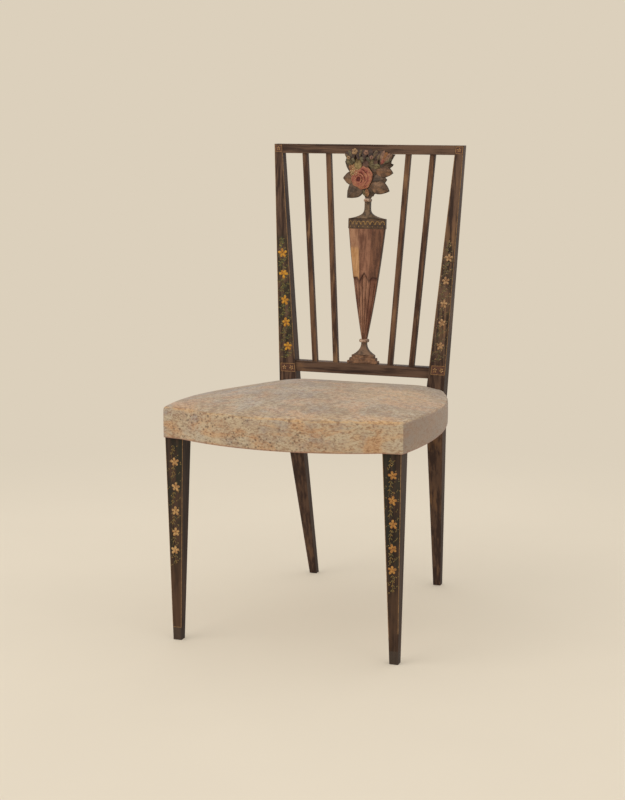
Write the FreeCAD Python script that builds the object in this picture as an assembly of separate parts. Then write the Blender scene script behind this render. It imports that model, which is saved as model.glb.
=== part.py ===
import FreeCAD, Part
import math
import os

# A painted side chair with a square back, an urn splat and an upholstered bow-front seat.
# Millimetres. The chair faces -Y, +X is to the right seen from the front, +Z is up.
# Everything is laid out from the line of the front leg centres and moved at export,
# so that the origin is at floor level under the middle of the chair's outline.

# Chair
chair_height = 940.0
edge_ease = 0.8
joint_clearance = 0.15
soft_clearance = 0.3
cut_overrun = 5.0

# Seat outline, at the outside of the cover
seat_front_width = 476.0
front_bow = 53.0
front_knee_forward = 6.0
side_bow = 36.0
seat_drop_to_rear = 14.0

# Front legs
front_leg_top_size = 37.0
front_foot_size = 17.0
front_foot_splay = 3.25

# Rear posts: straight legs below the bend, splayed stiles above it
post_bend_height = 425.0
post_bend_setback = 452.0
rear_leg_rake = 94.0
back_rake = 34.0
rear_foot_spacing = 284.0
post_bend_spacing = 322.0
post_top_spacing = 394.0
rear_foot_width = 16.0
rear_foot_depth = 16.0
post_bend_width = 38.0
post_bend_depth = 30.0
post_top_width = 17.5
post_top_depth = 19.0

# Back rails and bars
crest_rail_height = 19.0
crest_rail_depth = 17.0
lower_rail_gap = 4.2
lower_rail_height = 22.5
lower_rail_depth = 21.0
bar_width = 10.5
bar_depth = 11.5
bar_tenon_length = 8.0
bar_tenon_size = 6.0
back_rail_tenon_length = 10.0
back_rail_tenon_depth = 8.0
back_rail_tenon_shoulder = 3.5

# Places of the inner and outer bar, as shares of the half width between the posts
bar_top_shares = (0.465, 0.745)
bar_bottom_shares = (0.405, 0.72)

# Urn splat: one carved board, heights measured up from the lower rail
splat_thickness = 17.0
splat_edge_thickness = 8.0
splat_tenon_width = 40.0
splat_tenon_thickness = 6.0
splat_tenon_length = 8.0
urn_step_height = 6.0
urn_step_half_widths = (33.0, 28.5, 24.0)
urn_foot_height = 26.0
urn_foot_half_width = 23.0
urn_foot_bend_half_width = 11.2
urn_foot_bend_height = 7.0
urn_waist_half_width = 5.4
urn_ring_height = 7.0
urn_ring_half_width = 9.6
urn_body_height = 229.0
urn_body_bulge = 2.7
urn_body_half_width = 39.2
urn_band_height = 21.5
urn_band_half_width = 40.6
urn_shoulder_height = 27.5
urn_shoulder_half_width = 32.0
urn_shoulder_bend_half_width = 14.0
urn_shoulder_bend_height = 8.0
urn_neck_half_width = 5.0
urn_neck_height = 7.0
urn_collar_height = 6.5
urn_collar_half_width = 7.6
urn_facet_share = 0.38
urn_station_count = 6

# Bouquet above the urn's collar: a block that spreads into the crest rail, a rose, leaves
bouquet_half_width = 50.0
rose_radius = 21.0
rose_edge_round = 3.5
# Outline corners of the block, as shares of the half width and of the bouquet's height
bouquet_block_shares = (
    (-0.10, 0.00),
    (0.10, 0.00),
    (0.22, 0.09),
    (0.52, 0.22),
    (0.66, 0.60),
    (0.76, 0.80),
    (0.93, 0.87),
    (1.12, 1.02),
    (-0.98, 1.02),
    (-0.86, 0.85),
    (-0.72, 0.60),
    (-0.50, 0.20),
    (-0.20, 0.12),
)
rose_place_shares = (-0.26, 0.45)
# Each leaf: root across and up, tip across and up, width, in the same shares
leaf_shares = (
    (-0.40, 0.68, -1.00, 0.86, 0.42),
    (-0.30, 0.50, -1.04, 0.45, 0.50),
    (-0.40, 0.42, -0.80, -0.01, 0.54),
    (0.48, 0.74, 0.98, 0.79, 0.22),
    (0.36, 0.66, 0.99, 0.56, 0.46),
    (0.24, 0.46, 0.90, 0.17, 0.52),
    (0.20, 0.56, 0.80, 0.40, 0.46),
)

# Seat frame under the upholstery
seat_rail_thickness = 24.0
seat_tenon_thickness = 9.0
seat_tenon_length = 14.0
seat_tenon_shoulder = 7.0
post_tenon_offset = 5.0
corner_block_size = 32.0
corner_block_toe = 3.0
corner_block_height = 22.0
corner_block_drop = 4.0
screw_shank_radius = 2.0
screw_head_radius = 3.8
screw_head_height = 2.2
screw_length = 24.0
screw_place_share = 0.5
screw_bite = 13.0

# Upholstery, from the frame outwards
webbing_thickness = 1.2
webbing_width = 52.0
webbing_pitch = 82.0
webbing_ramp = 12.0
webbing_end_inset = 9.0
base_linen_thickness = 0.8
linen_edge_inset = 10.0
edge_roll_height = 8.9
edge_roll_width = 15.0
undercover_thickness = 0.8
undercover_hem_height = 14.0
cover_thickness = 1.5
cover_hem_width = 17.0
cover_bottom_height = 401.0
cover_edge_height = 461.0
cover_shoulder_radius = 7.0
crown_height = 19.0
crown_power = 2.2
crown_shares = (0.9, 0.76, 0.6, 0.44, 0.28, 0.12)
shoulder_steps = 4

# Tacks
tack_shank_radius = 0.8
tack_head_radius = 3.1
tack_head_height = 0.8
tack_length = 9.0
tack_hole_clearance = 0.1
cover_tack_inset = 12.0
front_tack_count = 8
side_tack_count = 9
rear_tack_count = 6
webbing_tack_count = 3
webbing_strip_count = 3

# Heights and places that follow from the sizes above
seat_rail_bottom = cover_bottom_height + cover_thickness
undercover_layer = cover_thickness + soft_clearance
stuffing_layer = undercover_layer + undercover_thickness + soft_clearance
cover_front_y = -(front_leg_top_size / 2 + stuffing_layer)
post_front_y = post_bend_setback - post_bend_depth / 2
cover_rear_y = post_bend_setback + post_bend_depth / 2 - cover_thickness
post_outer_x = (post_bend_spacing + post_bend_width) / 2
post_inner_x = (post_bend_spacing - post_bend_width) / 2
front_leg_x = seat_front_width / 2 - stuffing_layer - front_leg_top_size / 2
leg_inner_x = front_leg_x - front_leg_top_size / 2
seat_slope = seat_drop_to_rear / (cover_rear_y - cover_front_y)
linen_top = cover_edge_height - stuffing_layer - edge_roll_height
linen_bottom = linen_top - base_linen_thickness
frame_top_height = linen_bottom - 2 * webbing_thickness
lower_rail_bottom = cover_edge_height + lower_rail_gap
lower_rail_top = lower_rail_bottom + lower_rail_height
crest_rail_bottom = chair_height - crest_rail_height
rake_angle = math.atan2(back_rake, chair_height - post_bend_height)
rear_foot_setback = post_bend_setback + rear_leg_rake
frame_inner_layer = stuffing_layer + seat_rail_thickness
seat_middle_y = (cover_front_y + cover_rear_y) / 2
chair_front_y = cover_front_y - front_bow
chair_rear_y = rear_foot_setback + rear_foot_depth / 2
middle_depth = (chair_front_y + chair_rear_y) / 2


def vector(x, y, z):
    return FreeCAD.Vector(x, y, z)


def line(start, end):
    return Part.LineSegment(start, end).toShape()


def arc(start, middle, end):
    return Part.Arc(start, middle, end).toShape()


def block(x_low, x_high, y_low, y_high, z_low, z_high):
    corner = vector(x_low, y_low, z_low)
    return Part.makeBox(x_high - x_low, y_high - y_low, z_high - z_low, corner)


def join(shapes):
    """One solid from overlapping or touching shapes."""
    return shapes[0].fuse(shapes[1:]).removeSplitter()


def blend(low, high, share):
    return low + (high - low) * share


def rectangle(x, y, z, width, depth):
    """Closed level rectangle about a centre."""
    corners = [
        vector(x - width / 2, y - depth / 2, z),
        vector(x + width / 2, y - depth / 2, z),
        vector(x + width / 2, y + depth / 2, z),
        vector(x - width / 2, y + depth / 2, z),
    ]
    return Part.makePolygon(corners + corners[:1])


def eased_rectangle(x, y, z, width, depth):
    """Closed level rectangle about a centre, its corners rounded as a scraper leaves them."""
    half_x = width / 2
    half_y = depth / 2
    round_share = 1 - math.sqrt(2) / 2
    edges = []
    for across, back in ((1, -1), (1, 1), (-1, 1), (-1, -1)):
        corner_x = x + across * half_x
        corner_y = y + back * half_y
        on_side = vector(corner_x, corner_y - back * edge_ease, z)
        on_end = vector(corner_x - across * edge_ease, corner_y, z)
        crown_x = corner_x - across * edge_ease * round_share
        crown_y = corner_y - back * edge_ease * round_share
        first, last = (on_end, on_side) if across != back else (on_side, on_end)
        if edges:
            edges.append(line(edges[-1].Vertexes[-1].Point, first))
        edges.append(arc(first, vector(crown_x, crown_y, z), last))
    edges.append(line(edges[-1].Vertexes[-1].Point, edges[0].Vertexes[0].Point))
    return Part.Wire(edges)


def level_rectangle(x, y, z, width, depth, eased):
    if eased:
        return eased_rectangle(x, y, z, width, depth)
    return rectangle(x, y, z, width, depth)


# Legs and posts


def front_leg_section(side, height, clearance, eased):
    leg_share = min(height / seat_rail_bottom, 1)
    size = blend(front_foot_size, front_leg_top_size, leg_share)
    splay = front_foot_splay * (1 - leg_share)
    size = size + clearance * 2
    return level_rectangle(side * (front_leg_x + splay), 0, height, size, size, eased)


def front_leg_blank(side, clearance, eased=False):
    """Leg before its mortises: tapered below the seat rails, square between them."""
    heights = (0, seat_rail_bottom, frame_top_height - seat_slope * front_leg_top_size)
    sections = [front_leg_section(side, height, clearance, eased) for height in heights]
    return Part.makeLoft(sections, True, True)


def post_centre(side, height):
    if height <= post_bend_height:
        share = height / post_bend_height
        x = blend(rear_foot_spacing, post_bend_spacing, share) / 2
        y = blend(rear_foot_setback, post_bend_setback, share)
        return side * x, y
    share = (height - post_bend_height) / (chair_height - post_bend_height)
    x = blend(post_bend_spacing, post_top_spacing, share) / 2
    y = blend(post_bend_setback, post_bend_setback + back_rake, share)
    return side * x, y


def post_width(height):
    if height <= post_bend_height:
        return blend(rear_foot_width, post_bend_width, height / post_bend_height)
    share = (height - post_bend_height) / (chair_height - post_bend_height)
    return blend(post_bend_width, post_top_width, share)


def post_depth(height):
    if height <= post_bend_height:
        return blend(rear_foot_depth, post_bend_depth, height / post_bend_height)
    share = (height - post_bend_height) / (chair_height - post_bend_height)
    return blend(post_bend_depth, post_top_depth, share)


def post_blank(side, clearance, eased=False):
    """Rear leg and stile in one piece, before its mortises."""
    sections = []
    for height in (0, post_bend_height, chair_height):
        x, y = post_centre(side, height)
        width = post_width(height) + clearance * 2
        depth = post_depth(height) + clearance * 2
        sections.append(level_rectangle(x, y, height, width, depth, eased))
    return Part.makeLoft(sections, True, True)


def back_y(height):
    return post_centre(1, height)[1]


def between_posts_half_width(height):
    return post_centre(1, height)[0] - post_width(height) / 2


# Back rails, bars and splat


def raked_block(half_low, half_high, depth, z_low, z_high):
    """Block across the chair's middle that leans with the back."""
    low = rectangle(0, back_y(z_low), z_low, half_low * 2, depth)
    high = rectangle(0, back_y(z_high), z_high, half_high * 2, depth)
    return Part.makeLoft([low, high], True, True)


def back_rail_tenons(z_low, z_high, growth):
    """Pair of tenons of a back rail as one long tongue, or its mortises with growth."""
    low = z_low + back_rail_tenon_shoulder - growth
    high = z_high - back_rail_tenon_shoulder + growth
    reach = back_rail_tenon_length + growth
    depth = back_rail_tenon_depth + growth * 2
    half_low = between_posts_half_width(low) + reach
    half_high = between_posts_half_width(high) + reach
    return raked_block(half_low, half_high, depth, low, high)


def back_rail(z_low, z_high, depth):
    half_low = between_posts_half_width(z_low)
    half_high = between_posts_half_width(z_high)
    body = raked_block(half_low, half_high, depth, z_low, z_high)
    return join([body, back_rail_tenons(z_low, z_high, 0)])


def bar_x(side, index, height):
    low_x = bar_bottom_shares[index] * between_posts_half_width(lower_rail_top)
    high_x = bar_top_shares[index] * between_posts_half_width(crest_rail_bottom)
    share = (height - lower_rail_top) / (crest_rail_bottom - lower_rail_top)
    return side * blend(low_x, high_x, share)


def bar_stretch(side, index, z_low, z_high, width, depth, eased=False):
    sections = []
    for height in (z_low, z_high):
        x = bar_x(side, index, height)
        sections.append(level_rectangle(x, back_y(height), height, width, depth, eased))
    return Part.makeLoft(sections, True, True)


def bar_tenons(side, index, growth):
    size = bar_tenon_size + growth * 2
    reach = bar_tenon_length + growth
    low = bar_stretch(side, index, lower_rail_top - reach, lower_rail_top, size, size)
    high = bar_stretch(side, index, crest_rail_bottom, crest_rail_bottom + reach, size, size)
    return low, high


def back_bar(side, index):
    body = bar_stretch(side, index, lower_rail_top, crest_rail_bottom, bar_width, bar_depth, True)
    low, high = bar_tenons(side, index, 0)
    return join([body, low, high])


def board(wire, front, back):
    """Carve an upright outline in the XZ plane out of a board between two depths."""
    face = Part.Face(wire)
    face.translate(vector(0, front, 0))
    return face.extrude(vector(0, back - front, 0))


def mirrored_outline(half_points):
    """Closed outline from the right half's lines and arcs.

    Each entry is an end point, or a pair of a middle point and an end point for an arc.
    """
    edges = []
    start = half_points[0]
    for entry in half_points[1:]:
        if isinstance(entry[0], tuple):
            middle, end = entry
            edges.append(arc(upright(start), upright(middle), upright(end)))
            edges.append(arc(mirror_point(start), mirror_point(middle), mirror_point(end)))
        else:
            end = entry
            edges.append(line(upright(start), upright(end)))
            edges.append(line(mirror_point(start), mirror_point(end)))
        start = end
    edges.append(line(mirror_point(half_points[0]), upright(half_points[0])))
    edges.append(line(upright(start), mirror_point(start)))
    return Part.Wire(Part.sortEdges(edges)[0])


def upright(point):
    return vector(point[0], 0, point[1])


def mirror_point(point):
    return vector(-point[0], 0, point[1])


def urn_heights():
    """Heights of the urn's stages above the lower rail, from the foot's steps up."""
    names = ("steps", "foot", "ring", "body", "band", "shoulder", "neck", "collar")
    sizes = (
        urn_step_height * len(urn_step_half_widths),
        urn_foot_height,
        urn_ring_height,
        urn_body_height,
        urn_band_height,
        urn_shoulder_height,
        urn_neck_height,
        urn_collar_height,
    )
    heights = {}
    level = 0
    for name, size in zip(names, sizes):
        heights[name] = (level, level + size)
        level = level + size
    return heights


def urn_half_width(share):
    """Half width of the tapered body; it swells a little between its ends."""
    straight = blend(urn_waist_half_width, urn_body_half_width, share)
    return straight + urn_body_bulge * 4 * share * (1 - share)


def faceted_section(half_width, height):
    """Level section of the body: flat back, three facets in front."""
    back = splat_thickness / 2
    edge = back - splat_edge_thickness
    front = -splat_thickness / 2
    facet = half_width * urn_facet_share
    corners = [
        vector(-half_width, back, height),
        vector(-half_width, edge, height),
        vector(-facet, front, height),
        vector(facet, front, height),
        vector(half_width, edge, height),
        vector(half_width, back, height),
    ]
    return Part.makePolygon(corners + corners[:1])


def urn_body(low, high):
    sections = []
    for index in range(urn_station_count + 1):
        share = index / urn_station_count
        sections.append(faceted_section(urn_half_width(share), blend(low, high, share)))
    return Part.makeLoft(sections, True, True)


def urn_steps():
    """Stacked plinths, each narrower and shallower than the one below."""
    steps = []
    for index, half_width in enumerate(urn_step_half_widths):
        front = -splat_thickness / 2 * (1 - index / (2 * len(urn_step_half_widths)))
        low = urn_step_height * index
        high = low + urn_step_height
        steps.append(block(-half_width, half_width, front, splat_thickness / 2, low, high))
    return steps


def urn_flares(heights):
    """Hollow-curved foot under the body and hollow-curved shoulder above it."""
    edge = splat_thickness / 2 - splat_edge_thickness
    back = splat_thickness / 2
    foot_low, foot_high = heights["foot"]
    foot = mirrored_outline([
        (urn_foot_half_width, foot_low),
        ((urn_foot_bend_half_width, foot_low + urn_foot_bend_height), (urn_waist_half_width, foot_high)),
    ])
    low, high = heights["shoulder"]
    neck_high = heights["neck"][1]
    shoulder = mirrored_outline([
        (urn_shoulder_half_width, low),
        (
            (urn_shoulder_bend_half_width, low + urn_shoulder_bend_height),
            (urn_neck_half_width, high),
        ),
        (urn_neck_half_width, neck_high),
    ])
    return [board(foot, edge, back), board(shoulder, edge, back)]


def urn_rings(heights):
    """Ring between foot and body, band over the body, collar on the neck."""
    back = splat_thickness / 2
    ring_low, ring_high = heights["ring"]
    collar_low, collar_high = heights["collar"]
    band_low, band_high = heights["band"]
    ring = block(-urn_ring_half_width, urn_ring_half_width, -back, back, ring_low, ring_high)
    collar_half = urn_collar_half_width
    collar = block(-collar_half, collar_half, -back, back, collar_low, collar_high)
    band = Part.makeLoft(
        [faceted_section(urn_band_half_width, band_low), faceted_section(urn_band_half_width, band_high)],
        True,
        True,
    )
    return [round_level_edges(ring), band, round_level_edges(collar)]


def round_level_edges(shape):
    """Turn the long level front edges of a ring into a rounded bead."""
    bounds = shape.BoundBox
    radius = bounds.ZLength / 3
    edges = []
    for edge in shape.Edges:
        level = edge.Vertexes[0].Y == bounds.YMin and edge.Vertexes[-1].Y == bounds.YMin
        if level and edge.BoundBox.ZLength < radius:
            edges.append(edge)
    return shape.makeFillet(radius, edges)


def bouquet_point(across_share, up_share, low, height):
    return across_share * bouquet_half_width, low + up_share * height


def leaf(entry, low, height, front, back):
    """Pointed leaf between a root and a tip, each side one arc."""
    root_across, root_up, tip_across, tip_up, width_share = entry
    root = bouquet_point(root_across, root_up, low, height)
    tip = bouquet_point(tip_across, tip_up, low, height)
    length = math.hypot(tip[0] - root[0], tip[1] - root[1])
    half = width_share * bouquet_half_width / 2
    across = -(tip[1] - root[1]) / length * half
    up = (tip[0] - root[0]) / length * half
    middle = ((root[0] + tip[0]) / 2, (root[1] + tip[1]) / 2)
    one = (middle[0] + across, middle[1] + up)
    other = (middle[0] - across, middle[1] - up)
    edges = [
        arc(upright(root), upright(one), upright(tip)),
        arc(upright(tip), upright(other), upright(root)),
    ]
    return board(Part.Wire(edges), front, back)


def bouquet(low, height):
    """Block, leaves and rose, each standing forward a little more than the last."""
    back = splat_thickness / 2
    edge = back - splat_edge_thickness
    corners = []
    for across, up in bouquet_block_shares:
        corners.append(upright(bouquet_point(across, up, low, height)))
    pieces = [board(Part.makePolygon(corners + corners[:1]), edge, back)]
    relief = splat_thickness - splat_edge_thickness
    for index, entry in enumerate(leaf_shares):
        front = edge - relief * (index % 3 + 1) / 4
        pieces.append(leaf(entry, low, height, front, back))
    x, z = bouquet_point(rose_place_shares[0], rose_place_shares[1], low, height)
    rose = Part.makeCylinder(rose_radius, splat_thickness, vector(x, -back, z), vector(0, 1, 0))
    front_rim = [item for item in rose.Edges if item.BoundBox.YMax < 0 and item.Closed]
    pieces.append(rose.makeFillet(rose_edge_round, front_rim))
    return pieces


def splat_tenon(z_low, z_high, growth):
    half = splat_tenon_width / 2 + growth
    return raked_block(half, half, splat_tenon_thickness + growth * 2, z_low, z_high)


def splat_tenons(growth):
    reach = splat_tenon_length + growth
    low = splat_tenon(lower_rail_top - reach, lower_rail_top, growth)
    high = splat_tenon(crest_rail_bottom, crest_rail_bottom + reach, growth)
    return low, high


def urn_splat():
    heights = urn_heights()
    low, high = heights["body"]
    pieces = urn_steps() + [urn_body(low, high)] + urn_flares(heights) + urn_rings(heights)
    collar_top = heights["collar"][1]
    clear_height = (crest_rail_bottom - lower_rail_top) / math.cos(rake_angle)
    pieces = pieces + bouquet(collar_top, clear_height - collar_top)
    carved = join(pieces)
    carved.rotate(vector(0, 0, 0), vector(1, 0, 0), -math.degrees(rake_angle))
    carved.translate(vector(0, back_y(lower_rail_top), lower_rail_top))
    reach = seat_front_width
    room = block(-reach, reach, 0, chair_height, lower_rail_top, crest_rail_bottom)
    carved = carved.common(room)
    low_tenon, high_tenon = splat_tenons(0)
    return join([carved, low_tenon, high_tenon])


# Seat plan


def tilted(x, y, height):
    """Point on a plane that falls towards the back, named by its height at the front."""
    return vector(x, y, height - seat_slope * (y - cover_front_y))


def front_circle():
    """Centre and radius of the bowed front between the knees, outside of the cover."""
    half = leg_inner_x
    rise = front_bow - front_knee_forward
    radius = (half * half + rise * rise) / (2 * rise)
    return cover_front_y - front_bow + radius, radius


def side_circle():
    """Centre and radius of the bowed right side, outside of the cover."""
    x_front = seat_front_width / 2
    x_rear = post_outer_x + cover_thickness
    run = post_front_y - cover_front_y
    chord = math.hypot(x_front - x_rear, run)
    radius = (chord * chord / 4 + side_bow * side_bow) / (2 * side_bow)
    out_x = run / chord
    out_y = (x_front - x_rear) / chord
    middle_x = (x_front + x_rear) / 2
    middle_y = (cover_front_y + post_front_y) / 2
    centre_x = middle_x - out_x * (radius - side_bow)
    centre_y = middle_y - out_y * (radius - side_bow)
    return centre_x, centre_y, radius


def front_line_y(x, inset):
    """Front edge of the bow at a place across the chair."""
    centre_y, radius = front_circle()
    return centre_y - math.sqrt((radius - inset) ** 2 - x * x)


def side_line_x(y, inset):
    """Right edge of the seat at a place along the chair."""
    centre_x, centre_y, radius = side_circle()
    return centre_x + math.sqrt((radius - inset) ** 2 - (y - centre_y) ** 2)


def seat_plan(inset):
    """Corner points of the right half of the seat, moved in by an inset.

    The front runs straight over each leg to a knee and bows out between the knees.
    """
    front_y = cover_front_y + inset
    knee_y = front_y - front_knee_forward
    centre_y, radius = front_circle()
    knee_x = math.sqrt((radius - inset) ** 2 - (knee_y - centre_y) ** 2)
    side_middle_y = (front_y + post_front_y) / 2
    return {
        "apex": (0, front_line_y(0, inset)),
        "knee": (knee_x, knee_y),
        "corner": (side_line_x(front_y, inset), front_y),
        "side": (side_line_x(side_middle_y, inset), side_middle_y),
        "post": (side_line_x(post_front_y, inset), post_front_y),
        "rear": (post_inner_x, cover_rear_y - inset),
    }


def seat_wire(inset, share, height, slopes):
    """Seat outline at a height, shrunk by a share about the seat's middle."""
    plan = seat_plan(inset)

    def place(name, side):
        x, y = plan[name]
        x = side * x * share
        y = seat_middle_y + (y - seat_middle_y) * share
        if slopes:
            return tilted(x, y, height)
        return vector(x, y, height)

    edges = [arc(place("knee", -1), place("apex", 1), place("knee", 1))]
    edges.append(line(place("knee", 1), place("corner", 1)))
    edges.append(arc(place("corner", 1), place("side", 1), place("post", 1)))
    edges.append(line(place("post", 1), place("rear", 1)))
    edges.append(line(place("rear", 1), place("rear", -1)))
    edges.append(line(place("rear", -1), place("post", -1)))
    edges.append(arc(place("post", -1), place("side", -1), place("corner", -1)))
    edges.append(line(place("corner", -1), place("knee", -1)))
    return Part.Wire(edges)


def seat_wall(inset, z_low, height):
    """Upright wall from a level bottom to a top that falls towards the back."""
    low = seat_wire(inset, 1, z_low, False)
    high = seat_wire(inset, 1, height, True)
    return Part.makeLoft([low, high], True, True)


def seat_prism(inset, z_low, z_high):
    """Upright prism of the seat's outline between two level planes."""
    low = seat_wire(inset, 1, z_low, False)
    high = seat_wire(inset, 1, z_high, False)
    return Part.makeLoft([low, high], True, True)


def seat_slab(inset, low_height, high_height):
    """Flat layer that falls towards the back, with the seat's outline."""
    low = seat_wire(inset, 1, low_height, True)
    high = seat_wire(inset, 1, high_height, True)
    return Part.makeLoft([low, high], True, True)


def seat_shoulder(layer):
    """Quarter-round shoulder between the upright border and the top."""
    radius = cover_shoulder_radius - layer
    edge_height = cover_edge_height - layer
    wires = []
    for step in range(shoulder_steps + 1):
        turn = math.pi / 2 * step / shoulder_steps
        inset = layer + radius * (1 - math.cos(turn))
        wires.append(seat_wire(inset, 1, edge_height - radius * (1 - math.sin(turn)), True))
    return Part.makeLoft(wires, True, True)


def seat_crown(layer):
    """Crowned top inside the shoulder, steep at its edge and nearly flat in the middle."""
    wires = []
    for share in (1,) + crown_shares:
        rise = crown_height * (1 - share ** crown_power)
        wires.append(seat_wire(cover_shoulder_radius, share, cover_edge_height - layer + rise, True))
    return Part.makeLoft(wires, True, False)


def seat_body(layer, z_low):
    """Whole upholstered form, a layer below the outside of the cover."""
    radius = cover_shoulder_radius - layer
    wall = seat_wall(layer, z_low, cover_edge_height - layer - radius)
    return join([wall, seat_shoulder(layer), seat_crown(layer)])


# Seat frame


def frame_band():
    """Bowed band of constant thickness that the four seat rails are cut from."""
    outer = seat_wall(stuffing_layer, seat_rail_bottom, frame_top_height)
    low = seat_rail_bottom - cut_overrun
    high = frame_top_height + cut_overrun
    inner = seat_wall(frame_inner_layer, low, high)
    return outer.cut(inner)


def rail_height_at(y):
    return frame_top_height - seat_slope * (y - cover_front_y)


def tenon_heights(y, growth):
    low = seat_rail_bottom + seat_tenon_shoulder - growth
    high = rail_height_at(y) - seat_tenon_shoulder + growth
    return low, high


def front_rail_tenon(side, growth):
    """Tenon of the front rail in a front leg."""
    low, high = tenon_heights(0, growth)
    y = cover_front_y + stuffing_layer + seat_rail_thickness / 2
    half = seat_tenon_thickness / 2 + growth
    root = leg_inner_x - seat_rail_thickness / 2
    tip = leg_inner_x + seat_tenon_length + growth
    x_low, x_high = sorted((side * root, side * tip))
    return block(x_low, x_high, y - half, y + half, low, high)


def side_rail_front_tenon(side, growth):
    """Tenon of a side rail in a front leg, midway between the rail's inner face and the leg's outer one."""
    low, high = tenon_heights(0, growth)
    half = seat_tenon_thickness / 2 + growth
    tip = front_leg_top_size / 2 - seat_tenon_length - growth
    root = front_leg_top_size / 2 + seat_rail_thickness / 2
    leg_outer_x = front_leg_x + front_leg_top_size / 2
    x = side * (side_line_x(root, frame_inner_layer) + leg_outer_x) / 2
    return block(x - half, x + half, tip, root, low, high)


def side_rail_rear_tenon(side, growth):
    """Tenon of a side rail in a rear post."""
    low, high = tenon_heights(post_front_y, growth)
    x = side * (post_bend_spacing / 2 + post_tenon_offset)
    half = seat_tenon_thickness / 2 + growth
    root = post_front_y - seat_rail_thickness / 2
    tip = post_front_y + seat_tenon_length + growth
    return block(x - half, x + half, root, tip, low, high)


def rear_rail_tenon(side, growth):
    """Tenon of the rear rail in a rear post."""
    low, high = tenon_heights(post_bend_setback, growth)
    y = cover_rear_y - stuffing_layer - seat_rail_thickness / 2
    half = seat_tenon_thickness / 2 + growth
    root = post_inner_x - seat_rail_thickness
    tip = post_inner_x + seat_tenon_length - post_tenon_offset + growth
    x_low, x_high = sorted((side * root, side * tip))
    return block(x_low, x_high, y - half, y + half, low, high)


def front_rail(band):
    reach = chair_height
    room = block(-leg_inner_x, leg_inner_x, -reach, front_leg_top_size / 2, 0, reach)
    return join([band.common(room), front_rail_tenon(1, 0), front_rail_tenon(-1, 0)])


def side_rail(band, side):
    x_low, x_high = sorted((0, side * seat_front_width))
    room = block(x_low, x_high, front_leg_top_size / 2, post_front_y, 0, chair_height)
    body = band.common(room).cut(post_blank(side, 0))
    front = side_rail_front_tenon(side, 0)
    rear = side_rail_rear_tenon(side, 0)
    return join([body, front, rear])


def rear_rail(band):
    half = post_outer_x
    room = block(-half, half, post_front_y, cover_rear_y + seat_rail_thickness, 0, chair_height)
    body = band.common(room).cut(post_blank(1, 0)).cut(post_blank(-1, 0))
    middle = max(body.Solids, key=lambda solid: solid.Volume)
    return join([middle, rear_rail_tenon(1, 0), rear_rail_tenon(-1, 0)])


def corner_block_heights():
    high = rail_height_at(cover_rear_y) - corner_block_drop
    return high - corner_block_height, high


def corner_block_start(end):
    """Inner corner of the leg or post that a block meets, and the way into the chair."""
    if end == "front":
        return leg_inner_x, front_leg_top_size / 2, 1
    return post_inner_x, post_front_y, -1


def end_rail_face_y(end, x):
    """Inner face of the front or the rear rail at a place across the chair."""
    if end == "front":
        return min(cover_front_y + frame_inner_layer, front_line_y(x, frame_inner_layer))
    return cover_rear_y - frame_inner_layer


def corner_block(side, end):
    """Glue block with blunt toes in an inside corner of the frame, scribed to leg and rails."""
    low, high = corner_block_heights()
    leg_x, leg_y, inwards = corner_block_start(end)
    near_x = leg_x - corner_block_size
    near_y = end_rail_face_y(end, near_x)
    far_y = leg_y + inwards * corner_block_size
    far_x = side_line_x(far_y, frame_inner_layer)
    outer_x = far_x + seat_rail_thickness
    outer_y = near_y - inwards * seat_rail_thickness
    plan = [
        (near_x, near_y + inwards * corner_block_toe),
        (near_x, outer_y),
        (outer_x, outer_y),
        (outer_x, far_y),
        (far_x - corner_block_toe, far_y),
    ]
    corners = [vector(side * x, y, low) for x, y in plan]
    face = Part.Face(Part.makePolygon(corners + corners[:1]))
    rough = face.extrude(vector(0, 0, high - low))
    inside = seat_prism(frame_inner_layer, low - cut_overrun, high + cut_overrun)
    upright_piece = front_leg_blank(side, 0) if end == "front" else post_blank(side, 0)
    scribed = rough.common(inside).cut(upright_piece)
    return max(scribed.Solids, key=lambda solid: solid.Volume)


def screw_line(side, end, toward):
    """Start and direction of a screw through a corner block into a rail."""
    low, high = corner_block_heights()
    middle = (low + high) / 2
    gap = corner_block_height / 4
    along = corner_block_size * screw_place_share
    back_off = screw_length - screw_bite
    leg_x, leg_y, inwards = corner_block_start(end)
    if toward == "side":
        y = leg_y + inwards * along
        x = side_line_x(y, frame_inner_layer) - back_off
        return vector(side * x, y, middle + gap), vector(side, 0, 0)
    x = leg_x - along
    y = end_rail_face_y(end, x) + inwards * back_off
    return vector(side * x, y, middle - gap), vector(0, -inwards, 0)


def screw(start, direction, growth):
    """Slotted wood screw: flat conical head, plain shank; growth makes its hole."""
    head_low = screw_head_radius + growth
    shank = screw_shank_radius + growth
    head = Part.makeCone(head_low, shank, screw_head_height, start, direction)
    return join([head, Part.makeCylinder(shank, screw_length, start, direction)])


def screw_hole(start, direction):
    """Hole for a screw, opened backwards so that the driver reaches its head."""
    radius = screw_head_radius + joint_clearance
    back = start - direction * corner_block_size
    access = Part.makeCylinder(radius, corner_block_size, back, direction)
    return join([screw(start, direction, joint_clearance), access])


# Upholstery


def webbing_xs():
    """Places across the chair of the front-to-back strips."""
    middle = (webbing_strip_count - 1) / 2
    return [(index - middle) * webbing_pitch for index in range(webbing_strip_count)]


def webbing_ys():
    """Places along the chair of the side-to-side strips."""
    middle = (webbing_strip_count - 1) / 2
    start = (front_line_y(0, 0) + cover_rear_y) / 2
    return [start + (index - middle) * webbing_pitch for index in range(webbing_strip_count)]


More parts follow.
